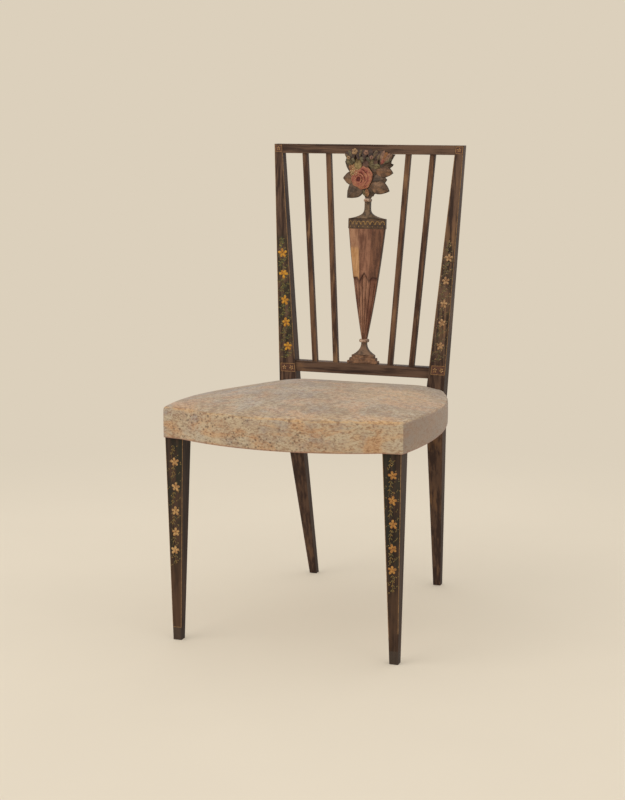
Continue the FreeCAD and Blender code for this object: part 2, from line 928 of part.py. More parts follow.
def webbing_lengthwise():
    """Strips nailed to the front and rear rails, cut to the seat's outline."""
    high = frame_top_height + webbing_thickness
    layer = seat_slab(stuffing_layer + webbing_end_inset, frame_top_height, high)
    strips = []
    for x in webbing_xs():
        half = webbing_width / 2
        room = block(x - half, x + half, -chair_height, chair_height, 0, chair_height)
        strips.append(layer.common(room))
    return strips


def cross_strip(y):
    """Strip from side rail to side rail that steps up over the lengthwise strips."""
    y_low = y - webbing_width / 2
    end = side_line_x(y_low, stuffing_layer + webbing_end_inset)
    flat_half = webbing_xs()[-1] + webbing_width / 2 + webbing_thickness
    ramp_end = flat_half + webbing_ramp
    low = rail_height_at(y_low)
    over = low + webbing_thickness
    profile = [(-end, low), (-ramp_end, low), (-flat_half, over), (flat_half, over)]
    profile = profile + [(ramp_end, low), (end, low)]
    upper = [(x, z + webbing_thickness) for x, z in reversed(profile)]
    corners = [vector(x, y_low, z) for x, z in profile + upper]
    face = Part.Face(Part.makePolygon(corners + corners[:1]))
    strip = face.extrude(vector(0, webbing_width, -seat_slope * webbing_width))
    outline = seat_wall(stuffing_layer + webbing_end_inset, 0, chair_height)
    return strip.common(outline)


def tack(x, y, z, toward, growth):
    """Tack with its head's inner face at a place; growth makes its hole."""
    direction = vector(0, 0, toward)
    head = Part.makeCylinder(tack_head_radius, tack_head_height, vector(x, y, z), -direction)
    shank_start = vector(x, y, z - toward * tack_head_height / 2)
    shank = Part.makeCylinder(tack_shank_radius + growth, tack_length, shank_start, direction)
    if growth:
        return shank
    return join([head, shank])


def spread(count, half_span):
    """Even places about zero."""
    step = 2 * half_span / (count - 1)
    return [step * index - half_span for index in range(count)]


def webbing_tack_places():
    """Places where the strips are nailed down, just above the webbing."""
    lift = webbing_thickness + tack_hole_clearance
    inset = stuffing_layer + webbing_end_inset + tack_head_radius * 2
    across = webbing_width / 2 - tack_head_radius * 2
    places = []
    for x in webbing_xs():
        for step in spread(webbing_tack_count, across):
            for y in (front_line_y(x + step, inset), cover_rear_y - inset):
                places.append((x + step, y, rail_height_at(y) + lift))
    for y in webbing_ys():
        for step in spread(webbing_tack_count, across):
            for side in (-1, 1):
                x = side * side_line_x(y + step, inset)
                places.append((x, y + step, rail_height_at(y + step) + lift))
    return places


def cover_tack_places():
    """Places under the rails where the cover's hem is nailed up."""
    inset = cover_tack_inset
    z = cover_bottom_height - tack_hole_clearance
    places = []
    for x in spread(front_tack_count, leg_inner_x - cover_tack_inset):
        places.append((x, front_line_y(x, inset), z))
    half_run = (post_front_y - front_leg_top_size / 2) / 2 - cover_tack_inset
    middle = (post_front_y + front_leg_top_size / 2) / 2
    for y in spread(side_tack_count, half_run):
        for side in (-1, 1):
            places.append((side * side_line_x(middle + y, inset), middle + y, z))
    for x in spread(rear_tack_count, post_inner_x - cover_tack_inset * 2):
        places.append((x, cover_rear_y - inset, z))
    return places


def tacks(places, toward, growth):
    return [tack(x, y, z, toward, growth) for x, y, z in places]


def base_linen():
    linen = seat_slab(stuffing_layer + linen_edge_inset, linen_bottom, linen_top)
    return cut_round_posts(linen)


def cut_round_posts(shape):
    return shape.cut([post_blank(side, soft_clearance) for side in (-1, 1)])


def edge_roll():
    """Stitched roll round the front and both sides, shaped to the cover's shoulder."""
    outer = stuffing_layer + soft_clearance
    ring = seat_slab(0, linen_top, linen_top + edge_roll_height)
    high = linen_top + edge_roll_height + cut_overrun
    hole = seat_slab(outer + edge_roll_width, linen_top - cut_overrun, high)
    ring = ring.cut(hole).common(seat_body(outer, seat_rail_bottom))
    rear_y = post_front_y - edge_roll_width
    room = block(-seat_front_width, seat_front_width, -chair_height, rear_y, 0, chair_height)
    return ring.common(room)


def edge_roll_room():
    """Space that the stuffing leaves for the edge roll."""
    grown = edge_roll_width + soft_clearance
    outer = seat_slab(0, linen_top - cut_overrun, linen_top + edge_roll_height + soft_clearance)
    high = linen_top + edge_roll_height + cut_overrun
    hole = seat_slab(stuffing_layer + grown, linen_top - cut_overrun, high)
    rear_y = post_front_y - edge_roll_width + soft_clearance
    room = block(-seat_front_width, seat_front_width, -chair_height, rear_y, 0, chair_height)
    return outer.cut(hole).common(room)


def seat_stuffing():
    """Crowned pad of hair on the linen, inside the roll."""
    form = seat_body(stuffing_layer, seat_rail_bottom)
    below = seat_slab(0, 0, linen_top)
    pad = form.cut(below).cut(edge_roll_room())
    pad = cut_round_posts(pad)
    return max(pad.Solids, key=lambda solid: solid.Volume)


def linen_undercover():
    low = seat_rail_bottom + undercover_hem_height
    outer = seat_body(undercover_layer, low)
    inner = seat_body(undercover_layer + undercover_thickness, low - cut_overrun)
    shell = cut_round_posts(outer.cut(inner))
    return max(shell.Solids, key=lambda solid: solid.Volume)


def seat_cover():
    """Fabric cover: crowned top, upright border, hem turned under the rails."""
    shell = seat_body(0, cover_bottom_height).cut(seat_body(cover_thickness, seat_rail_bottom))
    high = seat_rail_bottom + cut_overrun
    opening = seat_prism(cover_hem_width, cover_bottom_height - cut_overrun, high)
    legs = [front_leg_blank(side, soft_clearance) for side in (-1, 1)]
    shell = cut_round_posts(shell.cut([opening] + legs))
    return max(shell.Solids, key=lambda solid: solid.Volume)


# Assembly


def finish_leg(side):
    leg = front_leg_blank(side, 0, True)
    leg = leg.cut(front_rail_tenon(side, joint_clearance))
    return leg.cut(side_rail_front_tenon(side, joint_clearance))


def finish_post(side):
    post = post_blank(side, 0, True)
    post = post.cut(side_rail_rear_tenon(side, joint_clearance))
    post = post.cut(rear_rail_tenon(side, joint_clearance))
    for z_low, z_high in ((lower_rail_bottom, lower_rail_top), (crest_rail_bottom, chair_height)):
        post = post.cut(back_rail_tenons(z_low, z_high, joint_clearance))
    return post


def finish_back_rails():
    lower = back_rail(lower_rail_bottom, lower_rail_top, lower_rail_depth)
    crest = back_rail(crest_rail_bottom, chair_height, crest_rail_depth)
    for side in (-1, 1):
        for index in range(len(bar_top_shares)):
            low, high = bar_tenons(side, index, joint_clearance)
            lower = lower.cut(low)
            crest = crest.cut(high)
    low, high = splat_tenons(joint_clearance)
    return lower.cut(low), crest.cut(high)


def frame_pieces():
    band = frame_band()
    pieces = {"seat_rail_front": front_rail(band), "seat_rail_rear": rear_rail(band)}
    for side, word in ((-1, "left"), (1, "right")):
        pieces["seat_rail_" + word] = side_rail(band, side)
        pieces["front_leg_" + word] = finish_leg(side)
        pieces["rear_post_" + word] = finish_post(side)
    return pieces


def corner_blocks():
    blocks = {}
    for side, word in ((-1, "left"), (1, "right")):
        for end in ("front", "rear"):
            blocks["corner_block_" + end + "_" + word] = corner_block(side, end)
    return blocks


def screw_lines():
    lines = []
    for side in (-1, 1):
        for end in ("front", "rear"):
            for toward in ("side", "end"):
                lines.append(screw_line(side, end, toward))
    return lines


def bore(pieces, holes, names):
    """Cut each hole out of every named piece that it may touch."""
    for name in names:
        bounds = pieces[name].BoundBox
        near = [hole for hole in holes if bounds.intersect(hole.BoundBox)]
        if near:
            pieces[name] = pieces[name].cut(near)


def build():
    pieces = frame_pieces()
    rail_names = [name for name in pieces if name.startswith("seat_rail")]
    blocks = corner_blocks()
    pieces.update(blocks)
    lines = screw_lines()
    holes = [screw_hole(start, direction) for start, direction in lines]
    bore(pieces, holes, rail_names + list(blocks))
    screws = [screw(start, direction, 0) for start, direction in lines]
    pieces["corner_block_screws"] = Part.makeCompound(screws)

    lower, crest = finish_back_rails()
    pieces["lower_back_rail"] = lower
    pieces["crest_rail"] = crest
    for side, word in ((-1, "left"), (1, "right")):
        for index, place in enumerate(("inner", "outer")):
            pieces["back_bar_" + place + "_" + word] = back_bar(side, index)
    pieces["urn_splat"] = urn_splat()

    pieces["webbing_lengthwise"] = Part.makeCompound(webbing_lengthwise())
    pieces["webbing_crosswise"] = Part.makeCompound([cross_strip(y) for y in webbing_ys()])
    webbing_names = ["webbing_lengthwise", "webbing_crosswise"]
    places = webbing_tack_places()
    bore(pieces, tacks(places, -1, tack_hole_clearance), webbing_names + rail_names)
    pieces["webbing_tacks"] = Part.makeCompound(tacks(places, -1, 0))

    pieces["base_linen"] = base_linen()
    pieces["edge_roll"] = edge_roll()
    pieces["seat_stuffing"] = seat_stuffing()
    pieces["linen_undercover"] = linen_undercover()
    pieces["seat_cover"] = seat_cover()
    places = cover_tack_places()
    bore(pieces, tacks(places, 1, tack_hole_clearance), ["seat_cover"] + rail_names)
    pieces["cover_tacks"] = Part.makeCompound(tacks(places, 1, 0))
    return pieces


def export(pieces):
    os.makedirs("parts", exist_ok=True)
    for name, shape in pieces.items():
        shape.translate(vector(0, -middle_depth, 0))
        shape.exportStep("parts/" + name + ".step")
        solids = len(shape.Solids)
        print(name, "solids", solids, "valid", shape.isValid(), "volume", round(shape.Volume))


export(build())
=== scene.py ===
"""Painted side chair: a square back with an urn splat, tapered legs and an upholstered seat."""

import logging
import math
from bisect import bisect_right
from collections.abc import Callable, Sequence
from dataclasses import dataclass, field
from enum import Enum
from typing import Any, ClassVar

import bmesh
import bpy
from mathutils import Matrix, Vector


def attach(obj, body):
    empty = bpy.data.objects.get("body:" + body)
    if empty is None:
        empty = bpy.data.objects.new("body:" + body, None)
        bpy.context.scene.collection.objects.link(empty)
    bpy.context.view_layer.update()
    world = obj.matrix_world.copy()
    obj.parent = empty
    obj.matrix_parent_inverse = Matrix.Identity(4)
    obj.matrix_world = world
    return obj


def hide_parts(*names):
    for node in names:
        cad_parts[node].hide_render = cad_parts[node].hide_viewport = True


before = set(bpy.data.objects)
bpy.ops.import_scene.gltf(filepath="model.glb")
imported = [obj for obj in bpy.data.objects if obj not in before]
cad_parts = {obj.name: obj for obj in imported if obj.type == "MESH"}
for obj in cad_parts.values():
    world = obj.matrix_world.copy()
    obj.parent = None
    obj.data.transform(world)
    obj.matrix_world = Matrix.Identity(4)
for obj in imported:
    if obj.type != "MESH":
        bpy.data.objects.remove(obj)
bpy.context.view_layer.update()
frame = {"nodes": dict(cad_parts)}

log = logging.getLogger("chair")

Colour = tuple[float, float, float]
Spot = tuple[float, float]
Triple = tuple[float, float, float]
Line = tuple[float, float, float, float]
Paint = bpy.types.Material

MM = 0.001
FULL_TURN = 2 * math.pi


def tint(red: int, green: int, blue: int) -> Colour:
    """Turn a display colour of 0 to 255 into the linear colour that shaders use.

    Args:
        red: Red share of the colour.
        green: Green share of the colour.
        blue: Blue share of the colour.

    Returns:
        The linear colour.
    """
    shares = (red / 255, green / 255, blue / 255)
    return tuple(s / 12.92 if s <= 0.04045 else ((s + 0.055) / 1.055) ** 2.4 for s in shares)


def blend(low: float, high: float, share: float) -> float:
    """Value a share of the way between two others."""
    return low + (high - low) * share


def smooth(low: float, high: float, value: float) -> float:
    """Smooth rise from 0 at low to 1 at high."""
    share = min(max((value - low) / (high - low), 0.0), 1.0)
    return share * share * (3 - 2 * share)


def polar(centre: Spot, reach: float, angle: float) -> Spot:
    """Place at a reach and an angle from a centre."""
    return centre[0] + reach * math.cos(angle), centre[1] + reach * math.sin(angle)


class Side(Enum):
    """Side of the chair, seen from its front."""

    LEFT = -1
    RIGHT = 1

    @property
    def word(self) -> str:
        """Name of the side as node names have it."""
        return self.name.lower()


class Grain(Enum):
    """Direction in which the brush and the grain run."""

    UPRIGHT = (1.0, 1.0, 0.07)
    LEVEL = (0.07, 1.0, 1.0)
    DEEP = (1.0, 0.07, 1.0)


# Shader maths


def maths(operation: str, reflected: bool = False) -> Callable[..., "Signal"]:
    """Make an operator of Signal that adds one Math node.

    Args:
        operation: What the node does.
        reflected: Whether the other value comes first.

    Returns:
        The operator.
    """

    def apply(self: "Signal", *others: Any) -> "Signal":
        """Signal of the new node."""
        values = (*others, self) if reflected else (self, *others)
        inputs = dict(enumerate(values))
        return self.recipe.output("ShaderNodeMath", inputs, {"operation": operation})

    return apply


class Signal:
    """A shader socket that Python operators extend with Math nodes."""

    __add__, __radd__ = maths("ADD"), maths("ADD", True)
    __sub__, __rsub__ = maths("SUBTRACT"), maths("SUBTRACT", True)
    __mul__, __rmul__ = maths("MULTIPLY"), maths("MULTIPLY", True)
    __truediv__, __rtruediv__ = maths("DIVIDE"), maths("DIVIDE", True)
    __abs__ = maths("ABSOLUTE")
    most = maths("MAXIMUM")
    _fold_shade = maths("PINGPONG")

    def __init__(self, recipe: "Recipe", socket: Any) -> None:
        """Wrap a socket of a recipe's tree."""
        self.recipe = recipe
        self.socket = socket

    def wrap(self, period: float) -> "Signal":
        """Distance to the nearest multiple of a period."""
        return self._fold_shade(period / 2)

    def rise(self, low: float, high: float) -> "Signal":
        """Smooth step from 0 at low to 1 at high."""
        inputs = {"Value": self, "From Min": low, "From Max": high}
        settings = {"interpolation_type": "SMOOTHSTEP"}
        return self.recipe.output("ShaderNodeMapRange", inputs, settings)

    def near(self, value: float, reach: float) -> "Signal":
        """1 at a value, falling smoothly to 0 at a reach from it."""
        return 1.0 - abs(self - value).rise(0.0, reach)


class Recipe:
    """A node tree under construction, of a material or of the sky."""

    EVEN: ClassVar[Triple] = (1.0, 1.0, 1.0)

    def __init__(self, owner: Any) -> None:
        """Start with the owner's tree empty."""
        self.owner = owner
        owner.use_nodes = True
        self.tree = owner.node_tree
        self.tree.nodes.clear()
        self._place: Signal | None = None

    def node(self, kind: str, inputs: dict | None = None, settings: dict | None = None) -> Any:
        """Add a node.

        Args:
            kind: Node type.
            inputs: Values, colours or signals by socket name or place.
            settings: Attributes of the node, set before its sockets.

        Returns:
            The node.
        """
        made = self.tree.nodes.new(kind)
        for key, value in (settings or {}).items():
            setattr(made, key, value)
        for key, value in (inputs or {}).items():
            socket = made.inputs[key]
            if isinstance(value, Signal):
                self.tree.links.new(value.socket, socket)
            else:
                socket.default_value = (*value, 1.0) if socket.type == "RGBA" else value
        return made

    def output(
        self,
        kind: str,
        inputs: dict | None = None,
        settings: dict | None = None,
        name: str | int = 0,
    ) -> Signal:
        """Add a node, as node does, and wrap one of its outputs."""
        return Signal(self, self.node(kind, inputs, settings).outputs[name])

    def end(self, surface: Signal, kind: str = "Material") -> None:
        """Show a surface."""
        self.node("ShaderNodeOutput" + kind, {0: surface})

    def place(self) -> Signal:
        """Object coordinates of the surface, in metres."""
        if self._place is None:
            self._place = self.output("ShaderNodeTexCoord", name="Object")
        return self._place

    def _split(self, vector: Signal) -> tuple[Signal, ...]:
        """Parts of a vector along X, Y and Z."""
        made = self.node("ShaderNodeSeparateXYZ", {0: vector})
        return tuple(Signal(self, socket) for socket in made.outputs)

    def axes(self) -> tuple[Signal, ...]:
        """Coordinates of the surface along X, Y and Z."""
        return self._split(self.place())

    def facing(self) -> tuple[Signal, ...]:
        """Direction that the surface faces, along X, Y and Z."""
        return self._split(self.output("ShaderNodeNewGeometry", name="Normal"))

    def stretched(self, scale: Triple, shift: float) -> Signal:
        """Object coordinates, scaled and moved."""
        inputs = {"Vector": self.place(), "Location": (shift,) * 3, "Scale": scale}
        return self.output("ShaderNodeMapping", inputs)

    def cloud(
        self,
        scale: float,
        detail: float = 3.0,
        stretch: Triple = EVEN,
        shift: float = 0.0,
        rough: float = 0.55,
        warp: float = 0.0,
    ) -> Signal:
        """Cloudy noise between 0 and 1, about 0.5."""
        inputs = {"Vector": self.stretched(stretch, shift), "Scale": scale}
        inputs |= {"Detail": detail, "Roughness": rough, "Distortion": warp}
        return self.output("ShaderNodeTexNoise", inputs)

    def cells(self, scale: float, stretch: Triple, shift: float) -> Signal:
        """Distance to the nearest of many scattered points."""
        inputs = {"Vector": self.stretched(stretch, shift), "Scale": scale}
        return self.output("ShaderNodeTexVoronoi", inputs, {"feature": "F1"}, "Distance")

    def mark(self, name: str) -> Signal:
        """Value that the mesh stores at its points."""
        return self.output("ShaderNodeAttribute", None, {"attribute_name": name}, "Fac")

    def mix(self, share: Any, first: Any, second: Any) -> Signal:
        """Colour between two others."""
        inputs = {0: share, 6: first, 7: second}
        return self.output("ShaderNodeMix", inputs, {"data_type": "RGBA"}, 2)

    def coats(self, colour: Any, *coats: tuple[Any, Any]) -> Signal:
        """Colour with coats laid over it in turn, each a share and a colour."""
        for share, coat in coats:
            colour = self.mix(share, colour, coat)
        return colour

    def ramp(self, signal: Signal, stops: Sequence[tuple[float, Colour]]) -> Signal:
        """Colour read from a ramp."""
        made = self.node("ShaderNodeValToRGB", {0: signal})
        elements = made.color_ramp.elements
        while len(elements) < len(stops):
            elements.new(1.0)
        for element, (position, colour) in zip(elements, stops):
            element.position = position
            element.color = (*colour, 1.0)
        return Signal(self, made.outputs[0])


# Finishes


@dataclass(frozen=True)
class Finish:
    """What every finish has: a name, a surface and the settings of its shader."""

    name: str
    depth: ClassVar[float] = 0.0002
    settings: ClassVar[dict[str, float]] = {"Specular IOR Level": 0.25}

    def surface(self, recipe: Recipe) -> tuple[Signal, Signal, Signal]:
        """Colour, roughness and relief."""
        raise NotImplementedError

    def build(self) -> Paint:
        """Make the material."""
        recipe = Recipe(bpy.data.materials.new(self.name))
        colour, roughness, height = self.surface(recipe)
        bump = recipe.output("ShaderNodeBump", {"Distance": self.depth, "Height": height})
        inputs = {"Base Color": colour, "Roughness": roughness, "Normal": bump, **self.settings}
        recipe.end(recipe.output("ShaderNodeBsdfPrincipled", inputs))
        return recipe.owner


@dataclass(frozen=True)
class PaintedWood(Finish):
    """Old brushed paint over wood, worn through to brown in places, with painted shade on its
    sides.
    """

    dark: Colour = tint(58, 42, 34)
    body: Colour = tint(104, 79, 62)
    worn: Colour = tint(136, 100, 68)
    # painted shade: colour and share used to darken faces that look along X
    painted_side_shade: Colour = tint(44, 34, 33)
    painted_side_shade_share: float = 0.6
    grain: Grain = Grain.UPRIGHT
    wear: float = 0.5
    seed: float = 0.0
    depth: ClassVar[float] = 0.00035
    settings: ClassVar[dict[str, float]] = {"Specular IOR Level": 0.12}

    def coat(self, recipe: Recipe) -> Signal:
        """Streaked and worn paint colour."""
        streak = recipe.cloud(150, 4, self.grain.value, self.seed, 0.6)
        broad = recipe.cloud(34, 3, self.grain.value, self.seed + 3.1, 0.5)
        patch = recipe.cloud(16, 4, (1.0, 1.0, 0.6), self.seed + 7.7, 0.6)
        paint = recipe.mix((streak * 0.6 + broad * 0.4).rise(0.42, 0.58), self.dark, self.body)
        low, high = 0.72 - 0.14 * self.wear, 0.86 - 0.10 * self.wear
        rubbed = (streak * 0.5 + patch * 0.7).rise(low, high)
        return recipe.mix(rubbed * (0.35 + 0.6 * self.wear), paint, self.worn)

    def surface(self, recipe: Recipe) -> tuple[Signal, Signal, Signal]:
        """Paint with painted shade on the faces that look along X, with brush marks and fine grain.
        """
        rough = recipe.cloud(60, 2, self.grain.value, self.seed + 2.2) * 0.3 + 0.38
        # painted shade on the faces that look along X
        painted_side_shade = abs(recipe.facing()[0]).rise(0.75, 0.97) * self.painted_side_shade_share
        fine = recipe.cloud(420, 3, self.grain.value, self.seed + 1.3)
        coarse = recipe.cloud(120, 2, self.grain.value, self.seed + 5.9)
        return recipe.mix(painted_side_shade, self.coat(recipe), self.painted_side_shade), rough, fine * 0.5 + coarse * 0.5


@dataclass(frozen=True)
class PostPaint(PaintedWood):
    """Paint of a rear post: purplish low down, brown where the stile is rubbed."""

    low: Colour = tint(58, 45, 42)
    foliage: Colour = tint(46, 42, 31)

    def coat(self, recipe: Recipe) -> Signal:
        """Streaked paint with a green wash behind the painted flowers."""
        across, _, up = recipe.axes()
        forward = 1.0 - recipe.facing()[1].rise(-0.9, -0.5)
        drift = recipe.cloud(60, 3, (1.0, 1.0, 0.5), self.seed + 4.4).rise(0.36, 0.58)
        wash = forward * up.rise(0.49, 0.52) * (1.0 - up.rise(0.73, 0.78)) * drift * 0.85
        return recipe.coats(
            super().coat(recipe),
            (wash * (1.0 - across.rise(-0.01, 0.01) * 0.55), self.foliage),
            ((1.0 - up.rise(0.36, 0.43)) * 0.35, self.low),
        )


@dataclass(frozen=True)
class LegPaint(PaintedWood):
    """Paint of a front leg: dark green-black above, brown below, with a dull cuff."""

    above: Colour = tint(44, 44, 36)
    below: Colour = tint(88, 64, 46)
    cuff: Colour = tint(66, 57, 50)
    squiggle: Colour = tint(120, 106, 92)
    cuff_top: float = 0.0255
    cuff_blur: float = 0.0006

    def coat(self, recipe: Recipe) -> Signal:
        """Streaked paint that changes from the seat to the foot."""
        up = recipe.axes()[2]
        forward = 1.0 - recipe.facing()[1].rise(-0.9, -0.5)
        drift = recipe.cloud(48, 3, (1.0, 1.0, 0.4), self.seed + 6.1)
        high = (up + drift * 0.06).rise(0.15, 0.23)
        curl = recipe.cloud(260, 3, (1.0, 1.0, 0.8), self.seed + 9.0, 0.7, 2.5).near(0.5, 0.03)
        cuffed = recipe.mix(curl * forward * 0.45, self.cuff, self.squiggle)
        over_cuff = up.rise(self.cuff_top - self.cuff_blur, self.cuff_top + self.cuff_blur)
        return recipe.coats(
            super().coat(recipe),
            (forward * high * drift.rise(0.36, 0.62) * 0.85, self.above),
            ((1.0 - high) * drift.rise(0.3, 0.62) * 0.55, self.below),
            ((1.0 - over_cuff) * 0.7, cuffed),
        )


@dataclass(frozen=True)
class BrushStroke(Finish):
    """Thin coloured paint of the flowers, leaves and lines, rubbed thin in places."""

    light: Colour
    deep: Colour
    wear: float = 0.3
    seed: float = 0.0
    ground: Colour = tint(70, 54, 44)
    depth: ClassVar[float] = 0.0001

    def surface(self, recipe: Recipe) -> tuple[Signal, Signal, Signal]:
        """Paint that lets the ground show where it is rubbed."""
        drift = recipe.cloud(220, shift=self.seed)
        rub = recipe.cloud(900, 4, (1.0, 1.0, 0.5), self.seed + 2.0, 0.65)
        paint = recipe.mix(drift.rise(0.36, 0.62), self.deep, self.light)
        gone = rub.rise(0.62 - 0.22 * self.wear, 0.8 - 0.22 * self.wear)
        colour = recipe.mix(gone * (0.4 + 0.5 * self.wear), paint, self.ground)
        return colour, drift * 0.25 + 0.45, rub


@dataclass(frozen=True)
class CarvedLeaf(Finish):
    """Painted carving: dark at the rim and veins, lighter in the middle."""

    middle: Colour
    second: Colour
    seed: float = 0.0
    rim: Colour = tint(52, 42, 34)
    # painted shade: share of darkening on faces that look along X, more on those facing +X
    shade: float = 0.0

    def surface(self, recipe: Recipe) -> tuple[Signal, Signal, Signal]:
        """Mottled paint, darker towards its rim and its veins, with painted shade on its sides that
        turn away along X.
        """
        drift = recipe.cloud(90, shift=self.seed)
        fine = recipe.cloud(520, shift=self.seed + 4.0)
        colour = recipe.mix((drift * 0.75 + fine * 0.25).rise(0.4, 0.6), self.middle, self.second)
        # painted shade on faces turned away along X
        away = abs(recipe.facing()[0] + 0.15).rise(0.35, 0.9)
        dark = (recipe.mark("edge").rise(0.5, 0.98), recipe.mark("vein") * 0.45, away * self.shade)
        colour = recipe.coats(colour, *((share, self.rim) for share in dark))
        return colour, fine * 0.2 + 0.45, fine


@dataclass(frozen=True)
class RosePaint(Finish):
    """Petals from deep red in the folds to pink and tan on the rims: partly the rose's own colours,
    partly painted shade in the folds and a painted highlight on the rims.
    """

    # painted shade in the folds, together with the petals' own deep red
    fold_shade: Colour = tint(96, 40, 32)
    petal: Colour = tint(150, 84, 68)
    # painted highlight on the petal rims, together with their own pink and tan
    rim: Colour = tint(178, 124, 90)
    edge: Colour = tint(70, 48, 38)

    def surface(self, recipe: Recipe) -> tuple[Signal, Signal, Signal]:
        """Mottled petals, dark at their side edges."""
        drift = recipe.cloud(130)
        fine = recipe.cloud(700, shift=4.0)
        # dark from the heart out through the folds, light at the rims: partly rose colour, partly
        # painted shade and painted highlight
        tone_and_rim_light = recipe.mark("tone_and_rim_light") * 0.85 + (drift - 0.5) * 1.3 + (fine - 0.5) * 0.5
        petals = recipe.ramp(tone_and_rim_light, ((0.24, self.fold_shade), (0.56, self.petal), (1.0, self.rim)))
        colour = recipe.mix(recipe.mark("edge").rise(0.7, 1.0) * 0.8, petals, self.edge)
        return colour, fine * 0.2 + 0.45, fine


@dataclass(frozen=True)
class UrnPaint(Finish):
    """Red-brown panels over fluted pink-brown, with one golden panel, painted lighter on the upper
    left and darker on the right as painted light and shade.
    """

    middle: tuple[Colour, Colour] = (tint(100, 62, 44), tint(152, 106, 80))
    # painted shade: the right panels are a darker copy of the middle ones
    right: tuple[Colour, Colour] = (tint(84, 54, 39), tint(130, 88, 64))
    # painted highlight: the upper left panel is a lighter copy of the middle ones
    lit_left_high: tuple[Colour, Colour] = (tint(134, 92, 66), tint(180, 134, 102))
    gold: tuple[Colour, Colour] = (tint(166, 118, 72), tint(206, 158, 110))
    reed: tuple[Colour, Colour] = (tint(106, 68, 49), tint(164, 118, 90))
    # painted shade on the reeds towards the right
    shaded_reed_right: Colour = tint(104, 58, 42)
    groove: Colour = tint(64, 38, 30)
    speck: Colour = tint(214, 180, 150)
    chip: Colour = tint(92, 68, 46)
    side: Colour = tint(56, 40, 32)
    gold_top: float = 0.728
    gold_blur: float = 0.012
    facet: float = 0.38
    facet_blur: float = 0.02

    def surface(self, recipe: Recipe) -> tuple[Signal, Signal, Signal]:
        """Panels and reeds with grooves, specks, chips and dark sides, with painted shade towards
        the right and a painted highlight on the upper left.
        """
        up = recipe.axes()[2]
        turn, groove = recipe.mark("turn"), recipe.mark("groove")
        drift = recipe.cloud(70, 3, (1.0, 1.0, 0.35), 1.0)
        streak = recipe.cloud(320, 4, (1.0, 1.0, 0.08), 2.0, 0.6)
        fleck = recipe.cloud(900, 2, (1.0, 1.0, 0.7), 5.0, 0.6)
        mottle = (drift * 0.4 + streak * 0.35 + fleck * 0.25).rise(0.41, 0.59)
        middle, right, lit_left_high, gold, reed = (
            recipe.mix(mottle, *pair)
            for pair in (self.middle, self.right, self.lit_left_high, self.gold, self.reed)
        )
        over_gold = (up + streak * 0.012).rise(self.gold_top, self.gold_top + self.gold_blur)
        past_left, past_right = (
            turn.rise(seam - self.facet_blur, seam + self.facet_blur)
            for seam in (-self.facet, self.facet)
        )
        # the left panel is gold below and a painted highlight above; the right panel carries
        # painted shade
        left = recipe.mix(over_gold, gold, lit_left_high)
        panels = recipe.coats(left, (past_left, middle), (past_right, right))
        colour = recipe.coats(
            reed,
            # painted shade on the reeds towards the right
            (turn.rise(0.15, 0.6) * 0.55, self.shaded_reed_right),
            (recipe.mark("panel"), panels),
            (groove.rise(0.25, 0.9) * 0.8, self.groove),
            (fleck.rise(0.69, 0.74) * up.near(0.732, 0.016) * 0.8, self.speck),
            ((streak * 0.4 + fleck * 0.6).rise(0.54, 0.62) * up.rise(0.69, 0.75) * 0.6, self.chip),
            (abs(turn).rise(0.93, 1.0) * 0.85, self.side),
        )
        return colour, fleck * 0.2 + 0.45, streak * 0.5 + fleck * 0.5


